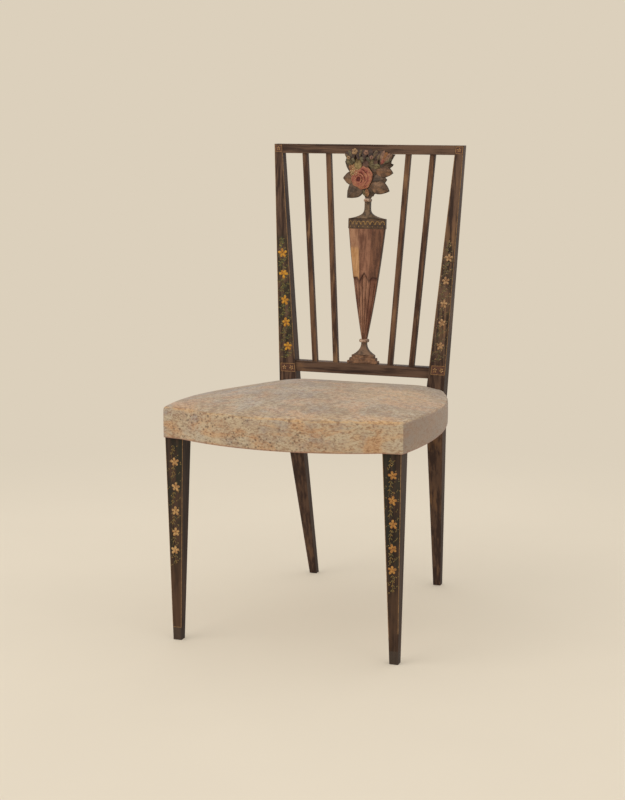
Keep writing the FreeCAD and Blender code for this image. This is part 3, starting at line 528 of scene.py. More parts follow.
@dataclass(frozen=True)
class SeatFabric(Finish):
    """Small mottled weave in tan, grey-lavender, peach and yellow with dark flecks."""

    tan: Colour = tint(177, 152, 124)
    deep: Colour = tint(154, 125, 86)
    lavender: Colour = tint(150, 141, 137)
    peach: Colour = tint(194, 144, 96)
    cream: Colour = tint(202, 184, 152)
    fleck: Colour = tint(130, 90, 58)
    dot: Colour = tint(88, 68, 50)
    # colour of the painted highlight along the front top edge, also of the warm patch on the top
    edge: Colour = tint(212, 168, 114)
    # painted shade on the side walls
    shade: Colour = tint(120, 102, 88)
    hem: Colour = tint(146, 100, 80)
    thread: float = 0.0011
    # side marks painted shade; band and knee mark painted highlights
    marks: ClassVar[tuple[str, ...]] = ("top", "border", "side", "band", "hem", "knee")
    depth: ClassVar[float] = 0.00035
    settings: ClassVar[dict[str, float]] = {"Sheen Weight": 0.25, "Sheen Roughness": 0.5}

    def surface(self, recipe: Recipe) -> tuple[Signal, Signal, Signal]:
        """Patches of colour, a streaked painted highlight along the front edge, painted shade on
        the side walls, a painted highlight past the knee, flecks and dots.
        """
        top, border, side, band, hem, knee = (recipe.mark(name) for name in self.marks)
        across, back, up = recipe.axes()
        blotch = recipe.cloud(13, 4, (1.0, 0.6, 1.1), 0.0, 0.58, 1.0)
        second = recipe.cloud(16, 4, (0.6, 0.6, 1.6), 11.0, 0.6, 1.2)
        third = recipe.cloud(20, 4, (0.9, 0.6, 1.2), 19.0, 0.6, 1.0)
        curl = recipe.cloud(150, 4, (0.8, 0.5, 1.2), 4.0, 0.62, 2.2)
        dash = recipe.cloud(230, 3, (0.6, 0.5, 1.3), 8.0, 0.66, 0.8)
        streak = recipe.cloud(80, 4, (0.3, 1.5, 2.0), 27.0, 0.65)
        thick = recipe.cloud(34, 3, (1.0, 0.7, 1.0), 15.0)
        spots = 1.0 - recipe.cells(165, (0.9, 0.7, 1.0), 3.0).rise(0.2, 0.42)
        cool = (1.0 - across.rise(-0.12, 0.08) * 0.45) * (border * 0.3 + 0.6)
        pale = (third * 0.74 + curl * 0.26).rise(0.46, 0.6) * (border * 0.2 + 0.4)
        warm = across.near(0.15, 0.13) * back.near(-0.02, 0.18) * top
        grouped = (border * 0.9 + top * 0.5) * (1.0 - across.rise(0.0, 0.16) * 0.6)
        colour = recipe.coats(
            self.tan,
            (top * 0.85, self.deep),
            ((blotch * 0.8 + curl * 0.2).rise(0.44, 0.6) * cool, self.lavender),
            (pale, self.cream),
            ((second * 0.76 + curl * 0.24).rise(0.46, 0.6) * 0.66, self.peach),
            (warm * curl.rise(0.36, 0.56) * 0.7, self.edge),
            # painted shade on the side walls
            (side * 0.66, self.shade),
            # painted highlight on the front facet past the right knee
            (knee * 0.3, self.cream),
            # painted highlight, streaked, along the front top edge
            (band * streak.rise(0.38, 0.58) * 0.72, self.edge),
            (dash.rise(0.5, 0.62) * 0.62, self.fleck),
            ((1.0 - dash.rise(0.38, 0.48)) * (1.0 - side) * 0.42, self.cream),
            (spots * thick.rise(0.42, 0.56) * grouped * 0.75, self.dot),
            (hem * 0.75, self.hem),
        )
        weave = across.wrap(self.thread) + back.wrap(self.thread) + up.wrap(self.thread)
        return colour, dash * 0.12 + 0.82, weave * 700.0 + curl * 0.5 + dash * 0.4


@dataclass(frozen=True)
class PlainWeave(Finish):
    """Coarse cloth of crossing threads."""

    light: Colour
    dark: Colour
    thread: float
    seed: float = 0.0
    depth: ClassVar[float] = 0.0005
    settings: ClassVar[dict[str, float]] = {}

    def surface(self, recipe: Recipe) -> tuple[Signal, Signal, Signal]:
        """Threads over and under each other, with slubs."""
        across, back, _ = recipe.axes()
        over, under = (way.wrap(self.thread) / (self.thread / 2) for way in (across, back))
        drift = recipe.cloud(60, 4, shift=self.seed)
        slub = recipe.cloud(300, 3, (0.2, 1.0, 1.0), self.seed + 3)
        slub = slub * 0.5 + recipe.cloud(300, 3, (1.0, 0.2, 1.0), self.seed + 5) * 0.5
        height = over.most(under) * 0.7 + slub * 0.5
        colour = recipe.mix(height.rise(0.4, 1.0) * 0.7 + drift * 0.3, self.dark, self.light)
        return colour, drift * 0.1 + 0.85, height


@dataclass(frozen=True)
class BareWood(Finish):
    """Planed pale wood with growth rings and saw marks."""

    light: Colour = tint(186, 150, 106)
    dark: Colour = tint(138, 100, 64)
    grain: Grain = Grain.LEVEL
    seed: float = 0.0
    depth: ClassVar[float] = 0.0004
    settings: ClassVar[dict[str, float]] = {}

    def surface(self, recipe: Recipe) -> tuple[Signal, Signal, Signal]:
        """Rings and fine grain."""
        rings = recipe.cloud(70, 3, self.grain.value, self.seed, 0.5, 1.2)
        fine = recipe.cloud(700, 3, self.grain.value, self.seed + 2)
        colour = recipe.mix((rings * 0.7 + fine * 0.3).rise(0.36, 0.66), self.dark, self.light)
        return colour, fine * 0.2 + 0.6, rings * 0.5 + fine * 0.5


@dataclass(frozen=True)
class DullMetal(Finish):
    """Old iron or steel with a mottled skin."""

    light: Colour
    dark: Colour
    depth: ClassVar[float] = 0.0001
    settings: ClassVar[dict[str, float]] = {"Metallic": 0.9}

    def surface(self, recipe: Recipe) -> tuple[Signal, Signal, Signal]:
        """Mottled metal."""
        drift = recipe.cloud(600, 4, shift=1.0, rough=0.6)
        return recipe.mix(drift.rise(0.4, 0.62), self.dark, self.light), drift * 0.35 + 0.35, drift


# Meshes


class Form:
    """A mesh under construction, kept in the row frame."""

    SHARP: ClassVar[float] = 35.0

    def __init__(self) -> None:
        """Start with nothing."""
        self.mesh = bmesh.new()

    def mark(self, name: str) -> Any:
        """Layer of point values of this name."""
        layers = self.mesh.verts.layers.float
        return layers.get(name) or layers.new(name)

    def rim(self) -> list[Any]:
        """Edges with a face on one side only."""
        return [edge for edge in self.mesh.edges if len(edge.link_faces) == 1]

    def cap(self, edges: Sequence[Any]) -> None:
        """Close a ring of edges with one face."""
        bmesh.ops.contextual_create(self.mesh, geom=edges)

    def turn_out(self) -> None:
        """Turn all faces outwards."""
        bmesh.ops.recalc_face_normals(self.mesh, faces=self.mesh.faces[:])

    def grow(self, edges: Sequence[Any], move: Callable[[Any], Vector]) -> tuple[list, dict]:
        """Extend open edges by one row of faces.

        Args:
            edges: Edges to extend.
            move: Place of the new point for each old one.

        Returns:
            The new open edges, and the old point of each new one.
        """
        old = {point for edge in edges for point in edge.verts}
        made = bmesh.ops.extrude_edge_only(self.mesh, edges=list(edges))["geom"]
        source = {}
        for point in (item for item in made if isinstance(item, bmesh.types.BMVert)):
            ends = (edge.other_vert(point) for edge in point.link_edges)
            source[point] = next(end for end in ends if end in old)
        for point, before in source.items():
            point.co = move(before)
        drawn = (item for item in made if isinstance(item, bmesh.types.BMEdge))
        return [edge for edge in drawn if all(end in source for end in edge.verts)], source

    def close(self, move: Callable[[Any], Vector]) -> None:
        """Extend the open rim by one row and close it."""
        self.cap(self.grow(self.rim(), move)[0])

    def loft(self, rings: Sequence[Sequence[Vector]]) -> None:
        """Draw a tube with closed ends through rings of equal count."""
        ring = [self.mesh.verts.new(point) for point in rings[0]]
        edges = [self.mesh.edges.new(ends) for ends in zip(ring, ring[1:] + ring[:1])]
        self.cap(edges)
        for places in rings[1:]:
            edges, source = self.grow(edges, dict(zip(ring, places)).get)
            fresh = {before: point for point, before in source.items()}
            ring = [fresh[point] for point in ring]
        self.cap(edges)

    def sheet(
        self,
        across: int,
        along: int,
        shape: Callable[[float, float], tuple[Vector, Sequence[float]]],
        marks: Sequence[str] = (),
    ) -> list[Any]:
        """Bend a grid of the unit square into a surface.

        Args:
            across: Steps in the first direction.
            along: Steps in the second direction.
            shape: Place and marks of the point at two shares from 0 to 1.
            marks: Names of the marks.

        Returns:
            The points.
        """
        layers = [self.mark(name) for name in marks]
        made = bmesh.ops.create_grid(self.mesh, x_segments=across, y_segments=along, size=0.5)
        for point in made["verts"]:
            point.co, values = shape(point.co.x + 0.5, point.co.y + 0.5)
            for layer, value in zip(layers, values):
                point[layer] = value
        return made["verts"]

    @staticmethod
    def _brush(start: Vector, end: Vector, face: Vector, size: Triple) -> Matrix:
        """Place of a touch of the brush: along, across and out of the painted face."""
        along = (end - start).normalized()
        across = face.cross(along).normalized()
        turn = Matrix((along, across, along.cross(across).normalized())).transposed().to_4x4()
        return Matrix.Translation((start + end) / 2) @ turn @ Matrix.Diagonal((*size, 1.0))

    def stroke(
        self, start: Vector, end: Vector, face: Vector, width: float, height: float, taper: float
    ) -> None:
        """One touch of the brush: a long flat drop of paint.

        Args:
            start: Where the brush comes down, its full end.
            end: Where the stroke runs out.
            face: Direction that the painted face looks in.
            width: Width at the full end, in millimetres.
            height: How far the paint stands up, in millimetres.
            taper: Share of the width that is left at the thin end.
        """
        size = ((end - start).length / 2, width / 2 * MM, height * MM)
        place = self._brush(start, end, face, size)
        turn = Matrix.Rotation(math.pi / 2, 4, "Y")
        made = bmesh.ops.create_uvsphere(self.mesh, u_segments=8, v_segments=4, radius=1.0)
        for point in made["verts"]:
            drop = turn @ point.co
            drop.y *= blend(1.0, taper, (drop.x + 1) / 2)
            point.co = place @ drop

    def stripe(self, start: Vector, end: Vector, face: Vector, width: float, height: float) -> None:
        """Straight painted line with square ends, its width and height in millimetres."""
        size = ((end - start).length, width * MM, height * MM)
        place = self._brush(start, end, face, size)
        bmesh.ops.create_cube(self.mesh, size=1.0, matrix=place)

    def show(self, name: str) -> bpy.types.Object:
        """Turn the mesh into an object of the scene."""
        data = bpy.data.meshes.new(name)
        self.mesh.to_mesh(data)
        self.mesh.free()
        made = bpy.data.objects.new(name, data)
        bpy.context.scene.collection.objects.link(made)
        return made

    def finish(
        self, name: str, material: Paint, slot: str, sharp: float = SHARP
    ) -> bpy.types.Object:
        """Turn the mesh into a piece of the chair.

        Args:
            name: Name of the piece.
            material: Its material.
            slot: Not used.
            sharp: Angle in degrees over which an edge stays sharp.

        Returns:
            The piece.
        """
        bmesh.ops.remove_doubles(self.mesh, verts=self.mesh.verts[:], dist=1e-7)
        self.turn_out()
        for face in self.mesh.faces:
            face.smooth = True
        limit = math.radians(sharp)
        for edge in self.mesh.edges:
            edge.smooth = len(edge.link_faces) != 2 or edge.calc_face_angle(0.0) < limit
        piece = self.show(name)
        piece.data.materials.append(material)
        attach(piece, "root")
        log.info("%s: %d faces", name, len(piece.data.polygons))
        return piece


# The chair's lines, in metres in the row frame

MIDDLE_DEPTH = 0.2398
BEND_HEIGHT, BEND_DEPTH = 0.425, 0.452
BACK_RISE, BACK_LEAN = 0.515, 0.034
BACK_RAKE = math.atan2(BACK_LEAN, BACK_RISE)
BACK_FACE = Vector((0.0, -math.cos(BACK_RAKE), math.sin(BACK_RAKE)))
LOWER_RAIL_TOP = 0.4877


@dataclass(frozen=True)
class FrontFace:
    """Front face of a tapered leg or stile."""

    foot: Triple
    head: Triple
    foot_half: float
    head_half: float

    @classmethod
    def of_leg(cls, side: Side) -> "FrontFace":
        """Front face of a front leg."""
        foot = (side.value * 0.21985, -0.0085 - MIDDLE_DEPTH, 0.0)
        head = (side.value * 0.2166, -0.0185 - MIDDLE_DEPTH, 0.4025)
        return cls(foot, head, 0.0085, 0.0185)

    @classmethod
    def of_stile(cls, side: Side) -> "FrontFace":
        """Front face of a stile, above the bend of the post."""
        foot = (side.value * 0.161, 0.437 - MIDDLE_DEPTH, BEND_HEIGHT)
        head = (side.value * 0.197, 0.4765 - MIDDLE_DEPTH, BEND_HEIGHT + BACK_RISE)
        return cls(foot, head, 0.019, 0.00875)

    def share(self, height: float) -> float:
        """Share of the way up, for millimetres."""
        return (height * MM - self.foot[2]) / (self.head[2] - self.foot[2])

    def half(self, height: float) -> float:
        """Half width of the face at a height, in millimetres."""
        return blend(self.foot_half, self.head_half, self.share(height)) / MM

    def normal(self) -> Vector:
        """Direction that the face looks in."""
        rise = Vector(self.head) - Vector(self.foot)
        return Vector((1.0, 0.0, 0.0)).cross(Vector((0.0, rise.y, rise.z))).normalized()

    def point(self, across: float, height: float) -> Vector:
        """Place on the face, across from its centre line and up, for millimetres."""
        place = Vector(self.foot).lerp(Vector(self.head), self.share(height))
        return place + Vector((across * MM, 0.0, 0.0))


# Painted ornament


@dataclass
class Ornament:
    """Painted flowers, vines and lines on the front of a leg or stile, in millimetres.

    Flowers are given as across, height and turn in degrees, edge lines as low end, high end,
    side and width, and cross lines as height, left end, right end and width. The paints are
    those of the flowers, their hearts, leaves, shoots and lines, by the names of the pieces.
    """

    name: str
    face: FrontFace
    paints: dict[str, Paint]
    flowers: tuple[Triple, ...]
    radius: float
    vine_top: float
    vine_foot: float
    dabs: int
    edge_lines: tuple[Line, ...]
    cross_lines: tuple[Line, ...] = ()
    side_view: int = -1
    speckled: bool = False
    open_petals: ClassVar[tuple[int, ...]] = (90, 162, 234, 306, 378)
    side_petals: ClassVar[tuple[int, ...]] = (8, 60, 120, 172, 270)
    vine_lean: ClassVar[float] = -6.0
    pair_pitch: ClassVar[float] = 9.5
    margin: ClassVar[float] = 2.4

    def _stroke(self, form: Form, start: Spot, end: Spot, *size: float) -> None:
        """One touch of the brush between two places on the face."""
        ends = [self.face.point(*place) for place in (start, end)]
        form.stroke(*ends, self.face.normal(), *size)

    def _scatter(self, forms: Sequence[Form]) -> None:
        """Small leaf dabs all over the face, thinner towards the vine's top."""
        for index in range(self.dabs):
            height = blend(self.vine_foot, self.vine_top, (index * 0.75488) % 1.0)
            reach = self.face.half(height) - self.margin
            reach *= 0.3 + 0.7 * smooth(self.vine_top, self.vine_top - 45.0, height)
            across = reach * (2 * ((index * 0.56984) % 1.0) - 1)
            gaps = (math.hypot(across - x, height - z) for x, z, _ in self.flowers)
            if min(gaps) >= self.radius * 0.85:
                angle = math.radians(90 + 75 * math.sin(2.4 * index))
                end = polar((across, height), 2.4 + 1.8 * ((index * 0.41421) % 1.0), angle)
                self._stroke(forms[index % len(forms)], (across, height), end, 1.8, 0.3, 0.45)

    def _flower(self, form: Form, heart: Form, index: int) -> None:
        """Five petals round a heart, or a fan of petals of a flower seen from its side."""
        across, height, turn = self.flowers[index]
        turns = self.side_petals if index == self.side_view else self.open_petals
        for petal, degrees in enumerate(turns):
            angle = math.radians(turn + degrees)
            outer = self.radius * 1.1 * (1 + 0.1 * math.sin(7.3 * index + 2.1 * petal))
            ends = [polar((across, height), reach, angle) for reach in (outer, self.radius * 0.06)]
            self._stroke(form, *ends, self.radius * 0.86, 0.5, 0.45)
        ends = (across - 0.8, height + 0.4), (across + 1.0, height - 0.6)
        self._stroke(heart, *ends, 1.7, 0.7, 0.8)

    def _sprig(self, leaf: Form, shoot: Form, high: float, low: float, last: float | None) -> None:
        """Pairs of leaf strokes over a thin shoot.

        Args:
            leaf: Form of the leaves.
            shoot: Form of the shoot and of every other leaf.
            high: Height of its top.
            low: Height of its foot.
            last: Lean of the last sprig, or None for one between two flowers.
        """
        lean = self.vine_lean if last is None else last
        pairs = max(2, round((high - low) / self.pair_pitch))
        for pair in range(pairs):
            share = (pair + 0.1) / (pairs + (0.9 if last is None else 0.2))
            height = high - (high - low) * share
            drift = lean * (0.35 + 0.65 * share) if last is None else lean * 0.2
            across = drift + 0.6 * math.sin(high + 2.7 * pair)
            size = 5.6 * (1 - 0.18 * share)
            for way in (-1, 1):
                tip = (across + way * size * 0.72, height - size * (0.85 + 0.1 * way))
                target = leaf if (pair + (way > 0)) % 2 else shoot
                self._stroke(target, tip, (across, height), 1.75, 0.4, 0.35)
        foot = (lean * (1.15 if last is None else 0.3), low)
        self._stroke(shoot, (lean * 0.3, high - 1), foot, 0.75, 0.3, 0.7)

    def build(self) -> None:
        """Paint everything."""
        forms = {part: Form() for part in self.paints}
        petals, hearts, leaves, shoots, lines = forms.values()
        for index in range(len(self.flowers)):
            self._flower(petals, hearts, index)
        gap = self.radius + 1.0
        stops = [self.vine_top + gap] + [flower[1] for flower in self.flowers]
        for high, low in zip(stops, stops[1:]):
            self._sprig(leaves, shoots, high - gap, low + gap * 0.8, None)
        self._sprig(leaves, shoots, stops[-1] - gap, self.vine_foot, self.flowers[-1][0])
        self._scatter((leaves, shoots) * 2 + (petals,) if self.speckled else (leaves, shoots))
        for low, high, side, width in self.edge_lines:
            inset = width * 0.75
            ends = [self.face.point(side * (self.face.half(z) - inset), z) for z in (low, high)]
            lines.stripe(*ends, self.face.normal(), width, 0.3)
        for height, left, right, width in self.cross_lines:
            ends = [self.face.point(x, height) for x in (left, right)]
            lines.stripe(*ends, self.face.normal(), width, 0.3)
        for part, form in forms.items():
            form.finish(f"{self.name}_{part}", self.paints[part], "painted_frame")


@dataclass
class Rosette:
    """Small frame of lines with one or two small flowers in it, painted on a face.

    Its edges are in millimetres, and its paints are those of its ground, frame and flower.
    """

    name: str
    face: FrontFace
    paints: dict[str, Paint]
    left: float
    right: float
    low: float
    high: float
    clusters: int = 1
    line: float = 0.9
    spokes: ClassVar[int] = 5

    def build(self) -> None:
        """Paint the frame and the flower."""
        normal = self.face.normal()
        forms = {part: Form() for part in self.paints}
        ground, lines, dots = forms.values()
        level = (self.low + self.high) / 2
        ends = [self.face.point(x, level) for x in (self.left, self.right)]
        ground.stripe(*ends, normal, self.high - self.low, 0.2)
        xs, zs = (self.left, self.right, self.right, self.left), (self.low,) * 2 + (self.high,) * 2
        places = [self.face.point(*corner) for corner in zip(xs, zs)]
        for start, end in zip(places, places[1:] + places[:1]):
            lines.stripe(start, end, normal, self.line, 0.5)
        width = (self.right - self.left) / self.clusters
        wide, tall = width * 0.3, (self.high - self.low) * 0.3
        for cluster in range(self.clusters):
            middle = self.left + width * (cluster + 0.5)
            for spoke in range(self.spokes):
                angle = math.radians(90 + 360 / self.spokes * spoke + 30 * cluster)
                way = (math.cos(angle) * wide, math.sin(angle) * tall)
                ends = [
                    self.face.point(middle + way[0] * part, level + way[1] * part)
                    for part in (1.0, 0.2)
                ]
                dots.stroke(*ends, normal, min(wide, tall) * 0.66, 0.4, 0.5)
        for part, form in forms.items():
            form.finish(f"{self.name}_{part}", self.paints[part], "painted_frame")


# Splat


@dataclass(frozen=True)
class Hollow:
    """Hollow-curved moulding that narrows upwards, in millimetres."""

    low: float
    high: float
    neck: float
    flare: float
    curve: float
    front: float
    slope: float
    steps: int

    def rows(self) -> list[Triple]:
        """Height, half width and front of each row."""
        made = []
        for step in range(self.steps + 1):
            share = step / self.steps
            half = self.neck + self.flare * (1 - share) ** self.curve
            made.append((blend(self.low, self.high, share), half, self.front + half * self.slope))
        return made


@dataclass
class UrnSplat:
    """Carved board: steps, hollow foot, ring, three-sided urn, band, shoulder and collar.

    Lengths are in millimetres in the board's own plane: across, forward of its back and up
    from the lower rail. The pieces stand for the one solid of the splat.
    """

    thickness: float = 17.0
    edge: float = 8.0
    facet: float = 0.38
    body_low: float = 51.0
    body_high: float = 280.0
    waist_half: float = 5.4
    brim_half: float = 39.2
    bulge: float = 2.7
    steps: tuple[float, ...] = (33.0, 28.5, 24.0)
    step_height: float = 6.0
    foot: Hollow = Hollow(18.0, 44.0, 5.4, 17.6, 2.6, 7.6, 0.36, 14)
    shoulder: Hollow = Hollow(301.5, 329.0, 6.0, 31.0, 4.3, 8.2, 0.26, 18)
    neck: Triple = (337.0, 6.0, 9.8)
    arches: int = 8
    arch_half: float = 39.8
    pieces: list[bpy.types.Object] = field(default_factory=list)

    def place(self, x: float, forward: float, up: float) -> Vector:
        """Place in the row frame.

        Args:
            x: Across.
            forward: Forward of the back of the board.
            up: Up along the board from the lower rail.

        Returns:
            The place in metres.
        """
        depth = self.thickness / 2 - forward
        y = depth * math.cos(BACK_RAKE) + up * math.sin(BACK_RAKE)
        z = up * math.cos(BACK_RAKE) - depth * math.sin(BACK_RAKE)
        lean = BACK_LEAN * (LOWER_RAIL_TOP - BEND_HEIGHT) / BACK_RISE
        return Vector((x * MM, y * MM + BEND_DEPTH + lean - MIDDLE_DEPTH, z * MM + LOWER_RAIL_TOP))

    def rise(self, height: float) -> float:
        """Way up the board of a height above the floor, on its front."""
        front = self.thickness / 2
        return (height - LOWER_RAIL_TOP / MM - front * math.sin(BACK_RAKE)) / math.cos(BACK_RAKE)

    def add(self, form: Form, name: str, material: Paint, sharp: float = Form.SHARP) -> None:
        """Finish a piece that stands for the splat's solid."""
        piece = form.finish(name, material, "painted_splat", sharp)
        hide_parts("urn_splat")
        self.pieces.append(piece)

    def _turned(self, name: str, rows: Sequence[Triple], material: Paint, steps: int = 20) -> None:
        """Half-round moulding: each row gives its height, half width and front."""
        rings = []
        for up, half, front in rows:
            reach = min(self.edge, front * 0.8)
            ring = [(half, 0.0), (-half, 0.0), (-half, reach)]
            for angle in (math.pi * step / steps for step in range(1, steps)):
                forward = reach + (front - reach) * math.sin(angle) ** 0.8
                ring.append((-half * math.cos(angle), forward))
            rings.append([self.place(x, y, up) for x, y in (*ring, (half, reach))])
        form = Form()
        form.loft(rings)
        self.add(form, name, material)

    def _steps(self, material: Paint) -> None:
        """Three stacked plinths with rounded noses."""
        form = Form()
        for index, half in enumerate(self.steps):
            front = self.thickness * (1 - index / 12)
            low, high = (self.step_height * (index + way) for way in (0, 1))
            corners = ((-half, 0.0), (-half, front), (half, front), (half, 0.0))
            top = ((high - 1.8, 1), (high - 0.5, 0.985), (high, 0.95))
            rows = ((low, 0.985), (low + 1.3, 1), *top)
            form.loft([[self.place(x * s, y * s, up) for x, y in corners] for up, s in rows])
        self.add(form, "urn_steps", material, 50)

    def _bead(self, name: str, low: float, high: float, half: float, material: Paint) -> None:
        """Rounded ring."""
        rows = []
        for step in range(9):
            angle = math.pi * step / 8 - math.pi / 2
            up = blend(low, high, (math.sin(angle) + 1) / 2)
            ease = 1 - math.cos(angle)
            rows.append((up, half - 2.4 * ease, self.thickness - 2.6 * ease - 2))
        self._turned(name, rows, material)

    def body_half(self, up: float) -> float:
        """Half width of the urn's body."""
        share = (up - self.body_low) / (self.body_high - self.body_low)
        return blend(self.waist_half, self.brim_half, share) + self.bulge * 4 * share * (1 - share)

    def facet_front(self, turn: float) -> float:
        """Front of the three facets at a share across, from -1 to 1."""
        slope = max(abs(turn) - self.facet, 0.0) / (1 - self.facet)
        return blend(self.thickness, self.edge, slope)

    def panel_foot(self, turn: float) -> float:
        """Height of the pointed lower edge of the panels."""
        if abs(turn) < self.facet:
            return 189.0 - 17.0 * (abs(turn) / self.facet) ** 1.1
        share = (abs(turn) - self.facet) / (1 - self.facet)
        return 172.0 + 7.0 * smooth(0.0, 0.35, share) - 2.5 * smooth(0.75, 1.0, share)

    @staticmethod
    def _reeds(turn: float, share: float) -> Spot:
        """Depth of the reeds below the panels, and how much of a groove there is."""
        reeds = abs(math.sin(math.pi * (turn * 3.0 + 0.5)))
        fade = 1 - smooth(0.86, 1.0, share) * 0.3
        groove = max((1 - reeds**0.5) * fade, smooth(0.9, 1.0, share) * 0.75)
        return 1.6 + 2.0 * (1 - reeds**0.6) * fade, groove

    def _body(self, material: Paint) -> None:
        """Three-sided body: plain panels above, reeds below their pointed edge."""
        form = Form()
        across, lower, upper = 72, 46, 34
        along = lower + upper + 1

        def shape(first: float, second: float) -> tuple[Vector, Triple]:
            """Place on the front, with its marks."""
            turn = 2 * first - 1
            row = round(second * along)
            foot = self.panel_foot(turn)
            if row <= lower:
                up = blend(self.body_low, foot, row / lower)
                depth, groove = self._reeds(turn, row / lower)
            else:
                share = (row - lower - 1) / upper
                up = blend(foot + 0.4, self.body_high, share)
                seam = 1 - smooth(0.0, 0.03, abs(abs(turn) - self.facet))
                depth, groove = 0.7 * seam, max(0.9 * seam, 0.75 * (1 - smooth(0.0, 0.06, share)))
            half = self.body_half(up)
            front = min(self.facet_front(turn) - depth, 7.6 + half * 1.3)
            place = self.place(turn * half, max(front, self.edge * 0.6), up)
            return place, (turn, groove, float(row > lower))

        def backwards(point: Any) -> Vector:
            """Place on the back of the board below a front point."""
            return point.co - BACK_FACE * BACK_FACE.dot(point.co - self.place(0, 0, 0))

        form.sheet(across, along, shape, ("turn", "groove", "panel"))
        form.close(backwards)
        self.add(form, "urn_body", material, 28)

    def _band(self, ground: Paint, gold: Paint) -> None:
        """Dark band round the brim with a row of small gold arches."""
        form = Form()
        rings = []
        rows = ((280, 39.4, -0.6), (280.5, 40.6, 0.0), (300.5, 40.6, 0.0), (301.5, 39.6, -0.6))
        for up, half, proud in rows:
            ring = [self.place(half, 0, up), self.place(-half, 0, up)]
            for turn in (-1.0, -self.facet, self.facet, 1.0):
                ring.append(self.place(turn * half, self.facet_front(turn) + proud, up))
            rings.append(ring)
        form.loft(rings)
        self.add(form, "urn_band", ground, 25)

        def spot(turn: float, up: float) -> Vector:
            """Place just before the band's face."""
            return self.place(turn * self.arch_half, self.facet_front(turn) + 0.1, up)

        arches = Form()
        span = 0.84 / self.arches
        for index in range(self.arches):
            middle = (index + 0.5) / self.arches * 2 - 1
            angles = [math.pi * step / 6 for step in range(7)]
            points = [spot(middle + span * math.cos(a), 288.5 + 7.6 * math.sin(a)) for a in angles]
            for ends in zip(points, points[1:]):
                arches.stroke(*ends, BACK_FACE, 1.6, 0.5, 0.9)
            arches.stroke(spot(middle, 283.4), spot(middle, 286.0), BACK_FACE, 1.6, 0.5, 0.6)
        self.add(arches, "urn_band_arches", gold)

    def build(self, paints: dict[str, Paint]) -> None:
        """Carve the urn, part by part."""
        self._steps(paints["steps"])
        self._turned("urn_foot", self.foot.rows(), paints["foot"])
        self._bead("urn_ring", 44, 51, 9.6, paints["pale"])
        self._body(paints["urn"])
        self._band(paints["band"], paints["gold"])
        self._turned("urn_shoulder", [*self.shoulder.rows(), self.neck], paints["shoulder"])
        self._bead("urn_collar", 336, 342.5, 7.6, paints["pale"])
        log.info("urn: %d pieces", len(self.pieces))


@dataclass(frozen=True)
class Leaf:
    """Carved leaf from its root to its pointed tip, both across and above the floor in mm."""

    name: str
    root: Spot
    tip: Spot
    width: float
    bend: float
    forward: float
    arch: float
    paint: str
    crest_foot: ClassVar[float] = 906.0
    raised: ClassVar[float] = 2.4
    thickness: ClassVar[float] = 3.2

    def build(self, splat: UrnSplat, material: Paint) -> None:
        """Carve the leaf.

        Args:
            splat: Board that the leaf stands on.
            material: Paint of the leaf.
        """
        form = Form()
        lift = self.raised if self.tip[1] < self.crest_foot else 0.0
        root, tip = (Vector((x, splat.rise(z + lift))) for x, z in (self.root, self.tip))
        run = tip - root
        side = Vector((-run.y, run.x)).normalized()

        def shape(first: float, second: float) -> tuple[Vector, Spot]:
            """Place on the leaf's face, with its marks."""
            turn = 2 * first - 1
            share = 0.02 + 0.98 * second
            wide = math.sin(math.pi * share**0.8) ** 0.85 if share < 1 else 0.0
            centre = root + run * share + side * self.bend * math.sin(math.pi * share)
            flat = centre + side * turn * self.width / 2 * wide
            ripple = math.sin(share * 26 - abs(turn) * 5)
            rib = 1.2 * (1 - min(abs(turn) * 5, 1.0))
            cup = 1.8 * math.cos(turn * math.pi / 2) + 0.5 * ripple * abs(turn) + rib
            swell = self.arch * math.sin(math.pi * share * 0.9)
            edge = max(abs(turn) ** 3, smooth(0.86, 1.0, second))
            vein = max(max(0.0, ripple) ** 6 * 0.8, 1 - min(abs(turn) * 9, 1))
            forward = self.forward + swell + cup - 1.4 * share
            return splat.place(flat.x, forward, flat.y), (edge, vein)

        form.sheet(14, 26, shape, ("edge", "vein"))
        form.close(lambda point: point.co - BACK_FACE * self.thickness * MM)
        splat.add(form, self.name, material, 60)


